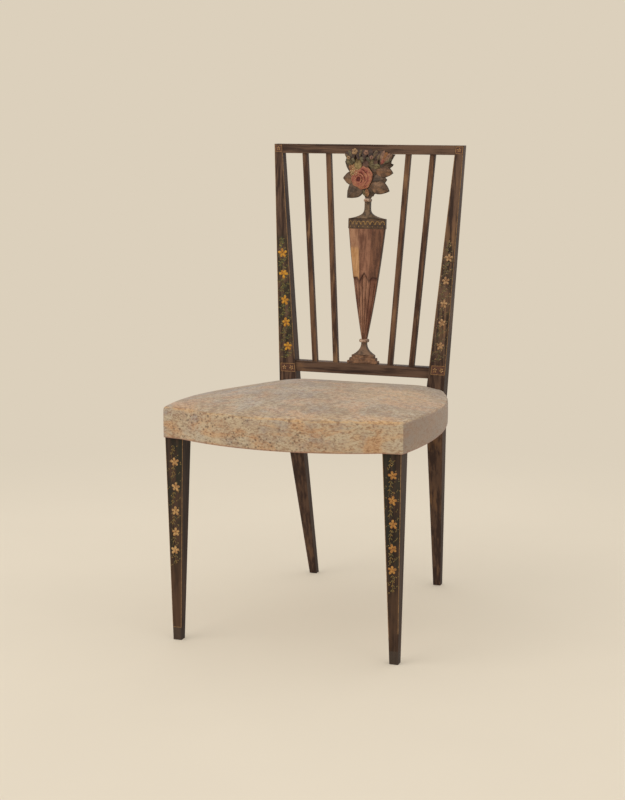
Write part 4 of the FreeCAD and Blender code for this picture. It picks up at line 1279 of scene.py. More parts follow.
@dataclass(frozen=True)
class Rose:
    """Open rose: rings of cupped petals round a closed heart, in millimetres.

    Each ring gives its count, reach, rise and first angle.
    """

    name: str
    centre: Spot
    radius: float = 23.4
    forward: float = 8.0
    height: float = 8.4
    rings: tuple[Line, ...] = (
        (5, 1.0, 0.42, 20),
        (5, 0.86, 0.62, 62),
        (4, 0.68, 0.84, 10),
        (4, 0.48, 0.96, 50),
        (3, 0.3, 1.06, 75),
    )
    lean: Spot = (-7.5, -6.5)
    tall: float = 1.1
    overlap: float = 1.42
    thickness: float = 0.7

    def _spot(self, reach: float, out: float, angle: float) -> Spot:
        """Place at an angle round the centre, which leans by how small the reach is."""
        shift = 1 - reach / self.radius
        x = self.centre[0] + self.lean[0] * shift + out * math.cos(angle)
        return x, self.centre[1] + self.lean[1] * shift + out * self.tall * math.sin(angle)

    def _petal(
        self, form: Form, splat: UrnSplat, angles: Spot, far: float, reach: float, rise: float
    ) -> None:
        """One petal that stands round the heart and curls out at its rim.

        Args:
            form: Form that it is added to.
            splat: Board that the rose stands on.
            angles: Angle of its middle and the angle that it spans.
            far: Reach of its ring, as a share.
            reach: How far out it reaches.
            rise: How far forward it stands.
        """
        middle, span = angles

        def shape(first: float, second: float) -> tuple[Vector, Spot]:
            """Place on the petal, with its marks."""
            turn = 2 * first - 1
            angle = middle + turn * span / 2
            share = second * (1 - 0.28 * abs(turn) ** 2.6)
            out = reach * (0.30 + 0.70 * share**0.9) * (1 + 0.03 * math.sin(9 * turn + middle * 5))
            lip = smooth(0.72, 1.0, share)
            curve = 0.35 + 0.65 * math.sin(min(share * 1.25, 1.0) * math.pi / 2)
            x, z = self._spot(reach, out, angle)
            place = splat.place(x, self.forward + rise * curve - 1.8 * lip * far, z)
            # first mark grows towards the rim: painted shade low on the petal, painted highlight at
            # its rim
            return place, (min(1.0, 0.05 + share * 0.95 + 0.15 * lip), abs(turn) ** 8)

        points = form.sheet(12, 8, shape, ("tone_and_rim_light", "edge"))
        faces = list({face for point in points for face in point.link_faces})
        bmesh.ops.recalc_face_normals(form.mesh, faces=faces)
        bmesh.ops.solidify(form.mesh, geom=faces, thickness=self.thickness * MM)

    def build(self, splat: UrnSplat, material: Paint) -> None:
        """Carve the rose.

        Args:
            splat: Board that the rose stands on.
            material: Paint of the petals.
        """
        form = Form()
        for ring, (count, far, rise, start) in enumerate(self.rings):
            for petal in range(count):
                middle = math.radians(start) + FULL_TURN * petal / count
                uneven = 1 + 0.06 * math.sin(3.1 * petal + 1.7 * ring)
                reach, up = far * self.radius * uneven, rise * self.height + 0.25 * petal
                angles = (middle, FULL_TURN / count * self.overlap)
                self._petal(form, splat, angles, far, reach, up)
        heart = [(0.93 * (1 - 0.25 * step / 6), 0.35 * step / 6) for step in range(7)]
        rings = []
        for share, rise in (*heart, (0.4, 0.62), (0.14, 0.9)):
            reach, forward = self.radius * share, self.forward + self.height * rise
            spots = [self._spot(reach, reach, FULL_TURN * step / 28) for step in range(28)]
            rings.append([splat.place(x, forward, z) for x, z in spots])
        form.loft(rings)
        splat.add(form, self.name, material, 70)


# Upholstered seat, in metres about the front legs' line


@dataclass(frozen=True)
class SeatPlan:
    """Outline of the seat seen from above, at the outside of its cover."""

    front_half: float = 0.238
    front_y: float = -0.0214
    knee_x: float = 0.1981
    knee_forward: float = 0.006
    bow: float = 0.053
    side_bow: float = 0.036
    post_y: float = 0.437
    post_x: float = 0.1815
    rear_x: float = 0.142
    rear_y: float = 0.4655
    edge_height: float = 0.461
    slope: float = 0.02875

    def front_circle(self) -> Spot:
        """Centre and radius of the front bow."""
        rise = self.bow - self.knee_forward
        radius = (self.knee_x**2 + rise**2) / (2 * rise)
        return self.front_y - self.bow + radius, radius

    def side_circle(self) -> Triple:
        """Centre and radius of the right side's bow."""
        run = self.post_y - self.front_y
        chord = math.hypot(self.front_half - self.post_x, run)
        radius = (chord**2 / 4 + self.side_bow**2) / (2 * self.side_bow)
        away = radius - self.side_bow
        x = (self.front_half + self.post_x) / 2 - run / chord * away
        y = (self.front_y + self.post_y) / 2 - (self.front_half - self.post_x) / chord * away
        return x, y, radius

    def front_line(self, x: float, inset: float) -> float:
        """Front edge at a place across."""
        centre, radius = self.front_circle()
        if abs(x) <= self.knee_x - inset * 0.4:
            return centre - math.sqrt((radius - inset) ** 2 - x * x)
        share = min((abs(x) - self.knee_x) / (self.front_half - self.knee_x), 1.0)
        return self.front_y + inset + self.knee_forward * (max(share, 0.0) - 1)

    def side_line(self, y: float, inset: float) -> float:
        """Right edge at a place along the seat."""
        x, middle, radius = self.side_circle()
        bowed = x + math.sqrt((radius - inset) ** 2 - (min(y, self.post_y) - middle) ** 2)
        if y <= self.post_y:
            return bowed
        share = min((y - self.post_y) / (self.rear_y - inset - self.post_y), 1.0)
        return blend(bowed, self.rear_x, share)

    def spot(self, u: float, v: float, inset: float) -> Spot:
        """Place at shares across, -1 to 1, and along, 0 to 1, of an outline moved inwards."""
        x = u * self.front_half
        y = self.front_y
        for _ in range(4):
            y = blend(self.front_line(x, inset), self.rear_y - inset, v)
            x = u * self.side_line(y, inset)
        return x, y

    def height(self, y: float, level: float) -> float:
        """Height of a plane that falls to the back, by its height at the front."""
        return level - self.slope * (y - self.front_y)


@dataclass
class SeatCover:
    """Crowned seat: fabric over stuffing, an upright border and a hem turned under."""

    plan: SeatPlan
    material: Paint
    shoulder: float = 0.007
    crown: float = 0.019
    bottom: float = 0.401
    hem: float = 0.017
    cloth: float = 0.0015
    lining_top: float = 0.4495
    steps: int = 72
    swell: float = 0.0036
    cap: float = 0.0022
    border_rows: int = 8
    shoulder_rows: int = 3
    cloth_frames: int = 20
    cloth_settings: ClassVar[dict[str, Any]] = {
        "quality": 6,
        "mass": 0.3,
        "tension_stiffness": 12,
        "compression_stiffness": 12,
        "bending_stiffness": 0.4,
        "use_pressure": True,
        "uniform_pressure_force": 4.0,
        "vertex_group_mass": "held",
    }

    def _gauge(self) -> Callable[[float, float], float]:
        """Share of the way from the seat's middle to its shoulder, for any place."""
        middle = (self.plan.front_y + self.plan.rear_y) / 2
        order = []
        for step in range(720):
            part, share = divmod(step / 180, 1)
            walk = ((2 * share - 1, 0.0), (1.0, share), (1 - 2 * share, 1.0), (-1.0, 1 - share))
            x, y = self.plan.spot(*walk[int(part)], self.shoulder)
            order.append((math.atan2(y - middle, x), math.hypot(x, y - middle)))
        order.sort()
        angles = [angle for angle, _ in order]

        def share_at(x: float, y: float) -> float:
            """Share for one place."""
            angle = math.atan2(y - middle, x)
            reach = order[0][1]
            if angles[0] < angle < angles[-1]:
                high = bisect_right(angles, angle)
                span = max(angles[high] - angles[high - 1], 1e-9)
                share = (angle - angles[high - 1]) / span
                reach = blend(order[high - 1][1], order[high][1], share)
            return math.hypot(x, y - middle) / reach

        return share_at

    @staticmethod
    def _sink(u: float, v: float) -> float:
        """How much lower the rim lies towards the back of the sides."""
        return 0.0034 * smooth(0.2, 0.8, v) * smooth(0.78, 1.0, abs(u))

    def _levels(self) -> list[tuple[float, float, bool, float]]:
        """Inset, drop, whether it is on the rounded shoulder, and hold of each row."""
        levels = []
        for step in range(1, self.shoulder_rows + 1):
            turn = math.pi / 2 * (1 - step / self.shoulder_rows)
            inset = self.shoulder * (1 - math.cos(turn))
            levels.append((inset, -self.shoulder * (1 - math.sin(turn)), True, 1.0))
        for step in range(1, self.border_rows + 1):
            hold = 1.0 if step in (1, self.border_rows) else 0.0
            levels.append((0.0, step / self.border_rows, False, hold))
        return levels

    def _shell(self) -> bpy.types.Object:
        """Closed form of the seat, slightly flatter than it ends."""
        form = Form()
        plan, gauge = self.plan, self._gauge()
        held, across, along = (form.mark(name) for name in ("held", "u", "v"))
        bunch = math.pi / 2 * 0.6

        def top(first: float, second: float) -> tuple[Vector, Spot]:
            """Place on the crowned top."""
            u = math.sin((2 * first - 1) * bunch) / math.sin(bunch)
            x, y = plan.spot(u, second, self.shoulder)
            rise = (self.crown - self.swell) * (1 - min(gauge(x, y), 1.0) ** 2.2)
            z = plan.height(y, plan.edge_height) + rise - self._sink(u, second)
            return Vector((x, y, z)), (u, second)

        form.sheet(self.steps, self.steps, top, ("u", "v"))
        rim = form.rim()
        for inset, drop, rounded, hold in self._levels():

            def move(old: Any) -> Vector:
                """Place of the next point down the border."""
                x, y = plan.spot(old[across], old[along], inset)
                level = plan.edge_height + (drop if rounded else -self.shoulder)
                z = plan.height(y, level) - self._sink(old[across], old[along])
                return Vector((x, y, z if rounded else blend(z, self.bottom, drop)))

            rim, source = form.grow(rim, move)
            for fresh, old in source.items():
                u, v = fresh[across], fresh[along] = old[across], old[along]
                fresh[held] = 1.0 if abs(abs(u) - 1) < 1e-4 and v < 1e-4 else hold
        form.cap(rim)
        form.turn_out()
        return form.show("seat_form")

    def _inflate(self, shell: bpy.types.Object) -> None:
        """Swell the shell with a cloth simulation, its hem and edges held."""
        data = shell.data
        group = shell.vertex_groups.new(name="held")
        for index, value in enumerate(data.attributes["held"].data):
            if value.value > 0:
                group.add([index], value.value, "REPLACE")
        cloth = shell.modifiers.new("cloth", "CLOTH")
        for key, value in self.cloth_settings.items():
            setattr(cloth.settings, key, value)
        cloth.settings.effector_weights.gravity = 0
        cloth.point_cache.frame_start = 1
        cloth.point_cache.frame_end = self.cloth_frames
        scene = bpy.context.scene
        for number in range(1, self.cloth_frames + 1):
            scene.frame_set(number)
        swollen = shell.evaluated_get(bpy.context.evaluated_depsgraph_get()).data
        moved = [point.co.copy() for point in swollen.vertices]
        shell.modifiers.remove(cloth)
        scene.frame_set(1)
        largest = 0.0
        for point, new in zip(data.vertices, moved):
            step = new - point.co
            largest = max(largest, step.length)
            if step.length > self.cap:
                step *= self.cap / step.length
            point.co = point.co + step
        log.info("seat cloth moved by up to %.1f mm", largest / MM)

    @staticmethod
    def _open_bottom(data: bpy.types.Mesh) -> None:
        """Take away the one large face that closed the form for the simulation."""
        mesh = bmesh.new()
        mesh.from_mesh(data)
        largest = max(mesh.faces, key=lambda face: len(face.verts))
        bmesh.ops.delete(mesh, geom=[largest], context="FACES_ONLY")
        mesh.to_mesh(data)
        mesh.free()

    def _marks(self, form: Form) -> None:
        """Note where each point of the cover is, for its fabric."""
        layers = [form.mark(name) for name in SeatFabric.marks]
        plan = self.plan
        for point in form.mesh.verts:
            x, y, z = point.co
            normal = point.normal
            edge = plan.height(y, plan.edge_height)
            away = y - plan.front_line(min(abs(x), plan.front_half), 0.0)
            up, ahead = smooth(0.35, 0.8, normal.z), smooth(0.35, 0.6, -normal.y)
            # painted highlight on the top near the front edge, stronger to the right
            glow = up * (1 - smooth(0.010, 0.060, away)) * (0.45 + 0.4 * smooth(-0.05, 0.15, x))
            # painted highlight on the rounded front top edge
            front = smooth(edge - 0.007, edge - 0.003, z) * (1 - smooth(0.006, 0.020, away))
            # marks: top, front border, painted shade on side walls, painted highlight along the
            # front top edge, hem, painted highlight past the knee
            values = (
                up,
                (1 - up) * ahead,
                (1 - up) * smooth(0.45, 0.62, abs(normal.x)) * (1 - ahead),
                max(front, glow),
                1 - smooth(0.4022, 0.4042, z),
                (1 - up) * ahead * smooth(0.196, 0.203, x),
            )
            for layer, value in zip(layers, values):
                point[layer] = value

    def _turn_hem(self, form: Form) -> None:
        """Turn the hem under the rails and up inside them."""
        rim = form.rim()
        steps = (
            (0.0012, self.bottom, False),
            (self.hem, self.bottom, False),
            (self.hem, self.bottom + self.cloth, False),
            (self.cloth, self.bottom + self.cloth, False),
            (self.cloth, self.lining_top, True),
        )
        places = {point: point.co.copy() for edge in rim for point in edge.verts}
        inward = {point: self._inward(place) for point, place in places.items()}
        for inset, level, tilted in steps:

            def move(old: Any) -> Vector:
                """Place of the next point of the turned hem."""
                x, y, _ = places[old] + inward[old] * inset
                return Vector((x, y, self.plan.height(y, level) if tilted else level))

            rim, source = form.grow(rim, move)
            places = {fresh: places[old] for fresh, old in source.items()}
            inward = {fresh: inward[old] for fresh, old in source.items()}
        form.cap(rim)

    def _inward(self, place: Vector) -> Vector:
        """Direction from a point of the border straight into the seat."""
        plan = self.plan
        x, y = place.x, place.y
        sign = math.copysign(1.0, x)
        side_x, side_y, _ = plan.side_circle()
        gaps = (plan.side_line(y, 0.0) - abs(x), y - plan.front_line(x, 0.0), plan.rear_y - y)
        toward_side = Vector((sign * side_x - x, side_y - y, 0)).normalized()
        if y > plan.post_y:
            toward_side = Vector((-0.58 * sign, -0.81, 0))
        toward_front = Vector((0, 1, 0))
        if abs(x) < plan.knee_x:
            toward_front = Vector((-x, plan.front_circle()[0] - y, 0)).normalized()
        weights = [math.exp(-((max(gap, 0.0) / 0.002) ** 2)) for gap in gaps]
        total = toward_side * weights[0] + toward_front * weights[1]
        total += Vector((0, -1, 0)) * weights[2]
        return total if total.length > 0.1 else toward_side

    def build(self) -> bpy.types.Object:
        """Make, swell and finish the seat.

        Returns:
            The seat.
        """
        shell = self._shell()
        self._inflate(shell)
        self._open_bottom(shell.data)
        smoother = shell.modifiers.new("smooth", "SUBSURF")
        smoother.levels = smoother.render_levels = 1
        graph = bpy.context.evaluated_depsgraph_get()
        fine = bpy.data.meshes.new_from_object(shell.evaluated_get(graph), depsgraph=graph)
        form = Form()
        form.mesh.from_mesh(fine)
        bpy.data.objects.remove(shell)
        self._turn_hem(form)
        form.mesh.normal_update()
        form.turn_out()
        form.mesh.normal_update()
        self._marks(form)
        seat = form.finish("seat_fabric_cover", self.material, "seat_fabric", 55)
        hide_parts("seat_cover", "linen_undercover", "edge_roll", "seat_stuffing")
        return seat


@dataclass
class Underside:
    """Webbing woven over the rails and the linen that lies on it."""

    plan: SeatPlan
    webbing: Paint
    linen: Paint
    width: float = 0.052
    pitch: float = 0.082
    thickness: float = 0.0011
    frame_top: float = 0.446
    end_inset: float = 0.0119
    end_gap: float = 0.0015
    linen_level: float = 0.4491
    linen_inset: float = 0.0129
    linen_thickness: float = 0.0006
    post_limit: float = 0.1415
    pieces: list[bpy.types.Object] = field(default_factory=list)

    def _strip(
        self, way: str, index: int, start: Spot, end: Spot, crossings: Sequence[float]
    ) -> None:
        """One strip that passes over and under the strips that cross it.

        Args:
            way: Long or cross.
            index: Its place, from 0.
            start: Its first end.
            end: Its other end.
            crossings: How far along it the others cross it.
        """
        form = Form()
        crosses = way == "cross"
        run = Vector((end[0] - start[0], end[1] - start[1]))
        side = Vector((-run.y, run.x)).normalized()

        def shape(first: float, second: float) -> tuple[Vector, tuple]:
            """Place on the upper face."""
            flat = Vector(start) + run * second + side * (first - 0.5) * self.width
            wave = 0.0
            for number, crossing in enumerate(crossings):
                over = -1 if (number + index + crosses) % 2 else 1
                gap = (second * run.length - crossing) / (self.pitch * 0.5)
                wave += over * max(0.0, 1 - gap * gap) ** 0.7
            lift = self.thickness * (1.0 + 0.5 * wave)
            return Vector((*flat, self.plan.height(flat.y, self.frame_top) + lift)), ()

        form.sheet(8, 90, shape)
        form.turn_out()
        bmesh.ops.solidify(form.mesh, geom=form.mesh.faces[:], thickness=self.thickness * 0.95)
        strip = form.finish(f"webbing_{way}_{index + 1}", self.webbing, "webbing")
        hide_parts("webbing_crosswise" if crosses else "webbing_lengthwise")
        self.pieces.append(strip)

    def _linen(self) -> None:
        """Linen over the webbing, cut to the seat's outline and round the posts."""
        form = Form()
        plan = self.plan

        def shape(first: float, second: float) -> tuple[Vector, tuple]:
            """Place on the upper face."""
            x, y = plan.spot(2 * first - 1, second, self.linen_inset)
            narrow = max(-self.post_limit, min(self.post_limit, x))
            x = blend(x, narrow, smooth(0.425, 0.4345, y))
            return Vector((x, y, plan.height(y, self.linen_level))), ()

        form.sheet(48, 60, shape)
        form.turn_out()
        area = sum(face.calc_area() for face in form.mesh.faces)
        ways = zip(*(point.co.xy for point in form.mesh.verts))
        flat = tuple(round(max(values) - min(values), 4) for values in ways)
        bmesh.ops.solidify(form.mesh, geom=form.mesh.faces[:], thickness=self.linen_thickness)
        linen = form.finish("base_linen_sheet", self.linen, "linen")
        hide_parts("base_linen")
        self.pieces.append(linen)

    def build(self) -> list[bpy.types.Object]:
        """Stretch the webbing and the linen.

        Returns:
            The strips and the linen.
        """
        plan = self.plan
        middle = (plan.front_line(0.0, 0.0) + plan.rear_y) / 2
        offsets = [(index - 1) * self.pitch for index in range(3)]
        for index, x in enumerate(offsets):
            start = plan.front_line(x, self.end_inset) + self.end_gap
            end = plan.rear_y - self.end_inset - self.end_gap
            crossings = [middle + offset - start for offset in offsets]
            self._strip("long", index, (x, start), (x, end), crossings)
        for index, offset in enumerate(offsets):
            y = middle + offset
            sides = (y - self.width / 2, y + self.width / 2)
            half = min(plan.side_line(side, self.end_inset) for side in sides)
            self._strip("cross", index, (-half, y), (half, y), [half + x for x in offsets])
        self._linen()
        return self.pieces


# Whole chair and its stage

# Name, lighter and darker colour, wear and seed
FLOWER_PAINTS = (
    ("flower_gold", tint(184, 132, 66), tint(144, 94, 46), 0.4),
    ("flower_pale", tint(194, 154, 100), tint(154, 110, 66), 0.35, 3.0),
    ("flower_faded", tint(184, 146, 102), tint(136, 98, 64), 0.4, 4.0),
    ("flower_orange", tint(206, 148, 44), tint(162, 106, 34), 0.3, 5.0),
    ("flower_heart", tint(128, 74, 38), tint(84, 50, 32), 0.2, 7.0),
    ("leaf_olive", tint(128, 112, 66), tint(92, 90, 56), 0.35, 9.0),
    ("leaf_green", tint(98, 100, 66), tint(72, 78, 54), 0.3, 11.0),
    ("leaf_moss", tint(150, 134, 68), tint(108, 100, 54), 0.3, 10.0),
    ("leaf_sage", tint(122, 108, 84), tint(94, 78, 60), 0.3, 12.0),
    ("shoot_gold", tint(158, 124, 66), tint(120, 96, 54), 0.35, 13.0),
    ("line_gold", tint(152, 116, 76), tint(120, 90, 60), 0.4, 15.0),
    ("frame_gold", tint(176, 134, 84), tint(136, 98, 60), 0.3, 17.0),
    ("rosette_ground", tint(98, 64, 46), tint(76, 50, 38), 0.2, 19.0),
)

# Name, side, paints of flowers, leaves and shoots, flowers, their radius, top and foot of the
# vine, number of dabs, edge lines, and what only this one has
LEG_ORNAMENTS = (
    ("leg_left", Side.LEFT, ("flower_pale", "leaf_olive", "shoot_gold"),
     ((0.3, 353.6, 8), (1.7, 304.8, -6), (0.5, 257.5, 0), (0.4, 216.0, 5), (-1.5, 180.0, -8)),
     8.0, 387.0, 148.0, 90, ((26.0, 401.0, 1.0, 1.1), (30.0, 401.0, -1.0, 0.7)),
     {"cross_lines": ((25.6, -8.6, 8.6, 1.0),)}),
    ("leg_right", Side.RIGHT, ("flower_gold", "leaf_olive", "shoot_gold"),
     ((1.3, 359.9, 12), (0.6, 312.9, -10), (1.2, 268.0, 4), (-0.1, 222.6, 16), (-1.1, 181.6, 0)),
     8.0, 390.0, 135.0, 110, ((60.0, 401.0, 1.0, 1.1), (50.0, 401.0, -1.0, 1.0)), {}),
)
STILE_ORNAMENTS = (
    ("stile_left", Side.LEFT, ("flower_orange", "leaf_green", "leaf_moss"),
     ((-0.1, 712.7, 5), (0.2, 668.8, 0), (0.4, 614.2, -8), (1.8, 568.1, 10), (3.5, 517.6, 0)),
     9.0, 745.0, 492.0, 300, ((492.0, 922.0, 1.0, 1.0), (492.0, 922.0, -1.0, 1.0)),
     {"side_view": 1}),
    ("stile_right", Side.RIGHT, ("flower_faded", "leaf_sage", "leaf_olive"),
     ((1.4, 713.7, 0), (-0.4, 666.8, 9), (0.1, 619.9, -5), (0.6, 581.1, 12), (2.1, 533.9, 0)),
     7.7, 748.0, 500.0, 230, ((492.0, 922.0, 1.0, 1.0), (492.0, 922.0, -1.0, 1.2)),
     {"speckled": True}),
)

# Name, side, left, right, low and high edge, number of flowers and width of the lines
ROSETTES = (
    ("rosette_left", Side.LEFT, -14.0, 17.0, 464.5, 481.0, 2),
    ("rosette_right", Side.RIGHT, -12.0, 17.0, 474.5, 492.5, 2),
    ("corner_left", Side.LEFT, -7.4, 7.4, 924.0, 937.5, 1, 0.8),
    ("corner_right", Side.RIGHT, -7.2, 7.2, 924.0, 937.5, 1, 0.8),
)

# Name, lighter and darker colour, seed, rim and painted shade on the sides that turn away along X
URN_PAINTS = {
    "steps": ("urn_steps_paint", tint(142, 103, 74), tint(96, 68, 49), 2.0, CarvedLeaf.rim, 0.5),
    "foot": ("urn_foot_paint", tint(126, 96, 72), tint(78, 59, 43), 5.0, CarvedLeaf.rim, 0.75),
    "pale": ("urn_pale_paint", tint(206, 174, 148), tint(138, 102, 78), 6.0, CarvedLeaf.rim, 0.6),
    "band": ("urn_band_paint", tint(92, 70, 50), tint(62, 46, 36), 7.0),
    "shoulder": (
        "urn_shoulder_paint", tint(120, 95, 70), tint(72, 57, 42), 9.0, CarvedLeaf.rim, 0.75
    ),
}
LEAF_PAINTS = {
    "dark": ("leaf_dark", tint(98, 76, 58), tint(66, 53, 43), 1.0),
    "grey": ("leaf_grey", tint(106, 84, 66), tint(72, 58, 46), 2.0),
    "brown": ("leaf_brown", tint(134, 102, 76), tint(90, 68, 52), 3.0),
    "tan": ("petal_tan", tint(172, 128, 86), tint(130, 88, 60), 4.0, tint(84, 58, 42)),
    "cream": ("petal_cream", tint(190, 160, 110), tint(146, 112, 74), 5.0, tint(92, 68, 46)),
    "lime": ("leaf_lime", tint(130, 116, 82), tint(92, 80, 58), 6.0, tint(60, 50, 36)),
    "straw": ("petal_straw", tint(156, 134, 88), tint(112, 92, 60), 7.0, tint(70, 56, 38)),
    "plum": ("petal_plum", tint(112, 84, 70), tint(76, 56, 50), 8.0, tint(52, 40, 36)),
    "russet": ("leaf_russet", tint(134, 98, 70), tint(94, 70, 53), 9.0, tint(58, 45, 35)),
}
LEAVES = (
    Leaf("leaf_far_left", (-20, 880), (-51.5, 904), 25, -2, 6.5, 2.0, "dark"),
    Leaf("leaf_left", (-22, 869), (-55, 869.5), 29, 0, 7.0, 3.0, "brown"),
    Leaf("leaf_down_left", (-17, 863), (-44.5, 828.5), 33, 4, 8.0, 3.0, "grey"),
    Leaf("leaf_top_right", (28, 890), (54, 898), 15, 1, 7.0, 2.0, "dark"),
    Leaf("leaf_right", (14, 886), (54, 880.5), 29, 1, 8.5, 2.6, "russet"),
    Leaf("leaf_mid_right", (9, 862), (41, 867), 27, 1, 8.0, 2.6, "grey"),
    Leaf("leaf_down_right", (6, 856), (47, 843.5), 31, 1.5, 8.5, 3.2, "brown"),
    Leaf("leaf_under", (4, 858), (11, 832), 18, -1, 6.0, 2.0, "grey"),
    Leaf("leaf_under_left", (-4, 858), (-15, 838), 16, 1, 6.0, 2.0, "dark"),
    Leaf("leaf_stem_one", (2, 832), (-14, 848), 10, 1, 7.0, 2.0, "lime"),
    Leaf("leaf_stem_two", (0, 831), (-2, 850), 10, 0, 8.5, 2.0, "tan"),
    Leaf("leaf_lime_low", (28, 893), (-5, 903), 15, 2, 10.6, 2.4, "lime"),
    Leaf("leaf_lime_high", (18, 880), (8, 902), 12, 1, 9.6, 2.0, "grey"),
    Leaf("leaf_behind_bud", (20, 890), (50, 910), 22, -2, 8.4, 2.0, "grey"),
    Leaf("petal_tan_left", (-18, 882), (-42, 902), 21, 3, 9.4, 2.6, "tan"),
    Leaf("petal_cream_left", (-22, 876), (-40, 884), 14, 2, 10.5, 2.4, "cream"),
    Leaf("petal_tan_middle", (-19, 888), (-22, 915), 17, 0, 12.6, 2.4, "straw"),
    Leaf("leaf_middle", (-3, 893), (-5, 917), 19, 0, 11.0, 2.4, "plum"),
    Leaf("petal_right", (14, 896), (19, 917), 16, 1, 10.6, 2.4, "plum"),
    Leaf("leaf_crest_left", (-32, 898), (-46, 918), 19, 1, 10.4, 2.4, "lime"),
    Leaf("leaf_crest_middle", (5, 900), (12, 919), 13, 0, 12.4, 2.4, "lime"),
)

# Drops of the bouquet that reach over the crest rail, by kind: name, lighter and darker
# colour, wear and seed
DAB_PAINTS = {
    "dusk": ("crest_dusk", tint(86, 66, 56), tint(58, 45, 40), 0.2, 24.0),
    "leaf": ("crest_leaf", tint(112, 92, 66), tint(76, 62, 46), 0.3, 23.0),
    "moss": ("crest_moss", tint(110, 98, 72), tint(74, 66, 50), 0.3, 28.0),
    "tan": ("blossom_tan", tint(166, 132, 94), tint(118, 90, 64), 0.3, 22.0),
    "rosy": ("blossom_rosy", tint(150, 112, 90), tint(110, 78, 64), 0.3, 29.0),
    "bud": ("bud_tan", tint(138, 108, 84), tint(98, 72, 56), 0.3, 21.0),
    "heart": ("bud_heart", tint(146, 98, 56), tint(114, 76, 48), 0.25, 25.0),
    "pink": ("bud_pink", tint(148, 82, 66), tint(118, 64, 52), 0.25, 27.0),
    "cream": ("bouquet_cream", tint(206, 182, 134), tint(160, 126, 86), 0.2, 26.0),
}

# Kind, how proud it stands, and each drop's tip, root and width in millimetres
DABS = (
    ("dusk", 0.0, (
        (-46, 925, -36, 908, 15), (-34, 930, -30, 908, 16), (-20, 931, -18, 908, 16),
        (-6, 931, -6, 908, 16), (8, 931, 6, 908, 16), (21, 930, 18, 908, 15),
        (33, 929, 27, 908, 14), (54, 922, 42, 906, 12))),
    ("leaf", 0.5, (
        (-47, 921, -36, 908, 9), (-12, 930, -17, 915, 8), (22, 929, 13, 912, 9),
        (28, 921, 22, 906, 9))),
    ("moss", 0.5, (
        (-40, 929, -33, 914, 8), (-13, 916, -9, 903, 10), (-1, 915, 6, 904, 9),
        (-33, 913, -26, 903, 8), (54, 912, 33, 901, 9))),
    ("bud", 0.6, ((37, 928, 30, 902, 14), (55, 921, 31, 902, 15))),
    ("heart", 1.1, ((45, 925, 32, 902, 17),)),
    ("rosy", 1.4, ((38, 929, 32, 907, 6), (51, 924, 36, 905, 6))),
    ("pink", 1.6, ((38, 910, 30, 900, 10),)),
)

# Across, height, radius, turn and kind
BLOSSOMS = (
    (-27, 926, 6.6, 10, "tan"), (-2, 924, 5.6, 40, "rosy"),
    (-40, 913, 4.0, 0, "tan"), (10, 914, 4.4, 20, "rosy"),
)

# Outline of a board behind the bouquet, and how far forward it lies, with how wide it is there
GROUNDS = (
    (((-4.5, 829), (4.5, 829), (9, 836), (22, 846), (33, 862), (38, 884), (44, 900), (56, 921),
      (-46, 921), (-42, 903), (-35, 884), (-26, 862), (-10, 842)),
     ((0.0, 0.98), (0.6, 1.0), (6.4, 1.0), (7.2, 0.98))),
    (((-38, 902), (-28, 897), (-10, 899), (10, 896), (30, 895), (42, 900), (53, 919.5),
      (-44, 919.5)),
     ((5.0, 0.98), (9.2, 1.0), (10.0, 0.98))),
)


@dataclass
class Bouquet:
    """Carved flowers and leaves over the urn, given by their heights above the floor in mm."""

    splat: UrnSplat
    crest_front: float = 17.9
    rose_centre: Spot = (-12.9, 873.4)
    cream_centre: Spot = (-27, 885)
    cream_count: int = 13
    cream_reach: float = 8.0

    def _ground(self, material: Paint) -> None:
        """Dark board behind the flowers, from the collar to the crest rail."""
        form = Form()
        place = self.splat.place
        for outline, levels in GROUNDS:
            spots = [(x, self.splat.rise(z)) for x, z in outline]
            form.loft([[place(x * wide, forward, z) for x, z in spots] for forward, wide in levels])
        self.splat.add(form, "bouquet_ground", material)

    def _crest_flowers(self) -> None:
        """Rosebud, blossoms and leaves that reach over the crest rail."""
        forms = {kind: Form() for kind in DAB_PAINTS}

        def dab(kind: str, rise: float, start: Spot, end: Spot, width: float) -> None:
            """One carved drop between two places."""
            forward = self.crest_front + rise
            ends = [self.splat.place(x, forward, self.splat.rise(z)) for x, z in (start, end)]
            forms[kind].stroke(*ends, BACK_FACE, width, 0.75, 0.45)

        for kind, rise, drops in DABS:
            for *places, width in drops:
                dab(kind, rise, places[:2], places[2:], width)
        for x, z, radius, turn, kind in BLOSSOMS:
            for petal in range(5):
                tip = polar((x, z), radius, math.radians(turn + 72 * petal))
                dab(kind, 0.9, tip, (x, z), radius * 1.3)
            dab("dusk", 1.3, (x - 1, z + 1), (x + 1.5, z - 1), 2.6)
        for index in range(self.cream_count):
            angle = 2.4 * index
            reach = self.cream_reach * (index / self.cream_count) ** 0.5
            start = polar(self.cream_centre, reach, angle)
            dab("cream", 1.4, start, polar(start, 3.4, angle + 1), 2.5)
        for kind, form in forms.items():
            paint = BrushStroke(*DAB_PAINTS[kind]).build()
            self.splat.add(form, "bouquet_crest_" + kind, paint)

    def build(self) -> None:
        """Carve the leaves, the rose, the board behind them and the crest's flowers."""
        paints = {key: CarvedLeaf(*row).build() for key, row in LEAF_PAINTS.items()}
        for leaf in LEAVES:
            leaf.build(self.splat, paints[leaf.paint])
        x, z = self.rose_centre
        Rose("rose", (x, self.splat.rise(z))).build(self.splat, RosePaint("rose_paint").build())
        self._ground(paints["dark"])
        self._crest_flowers()


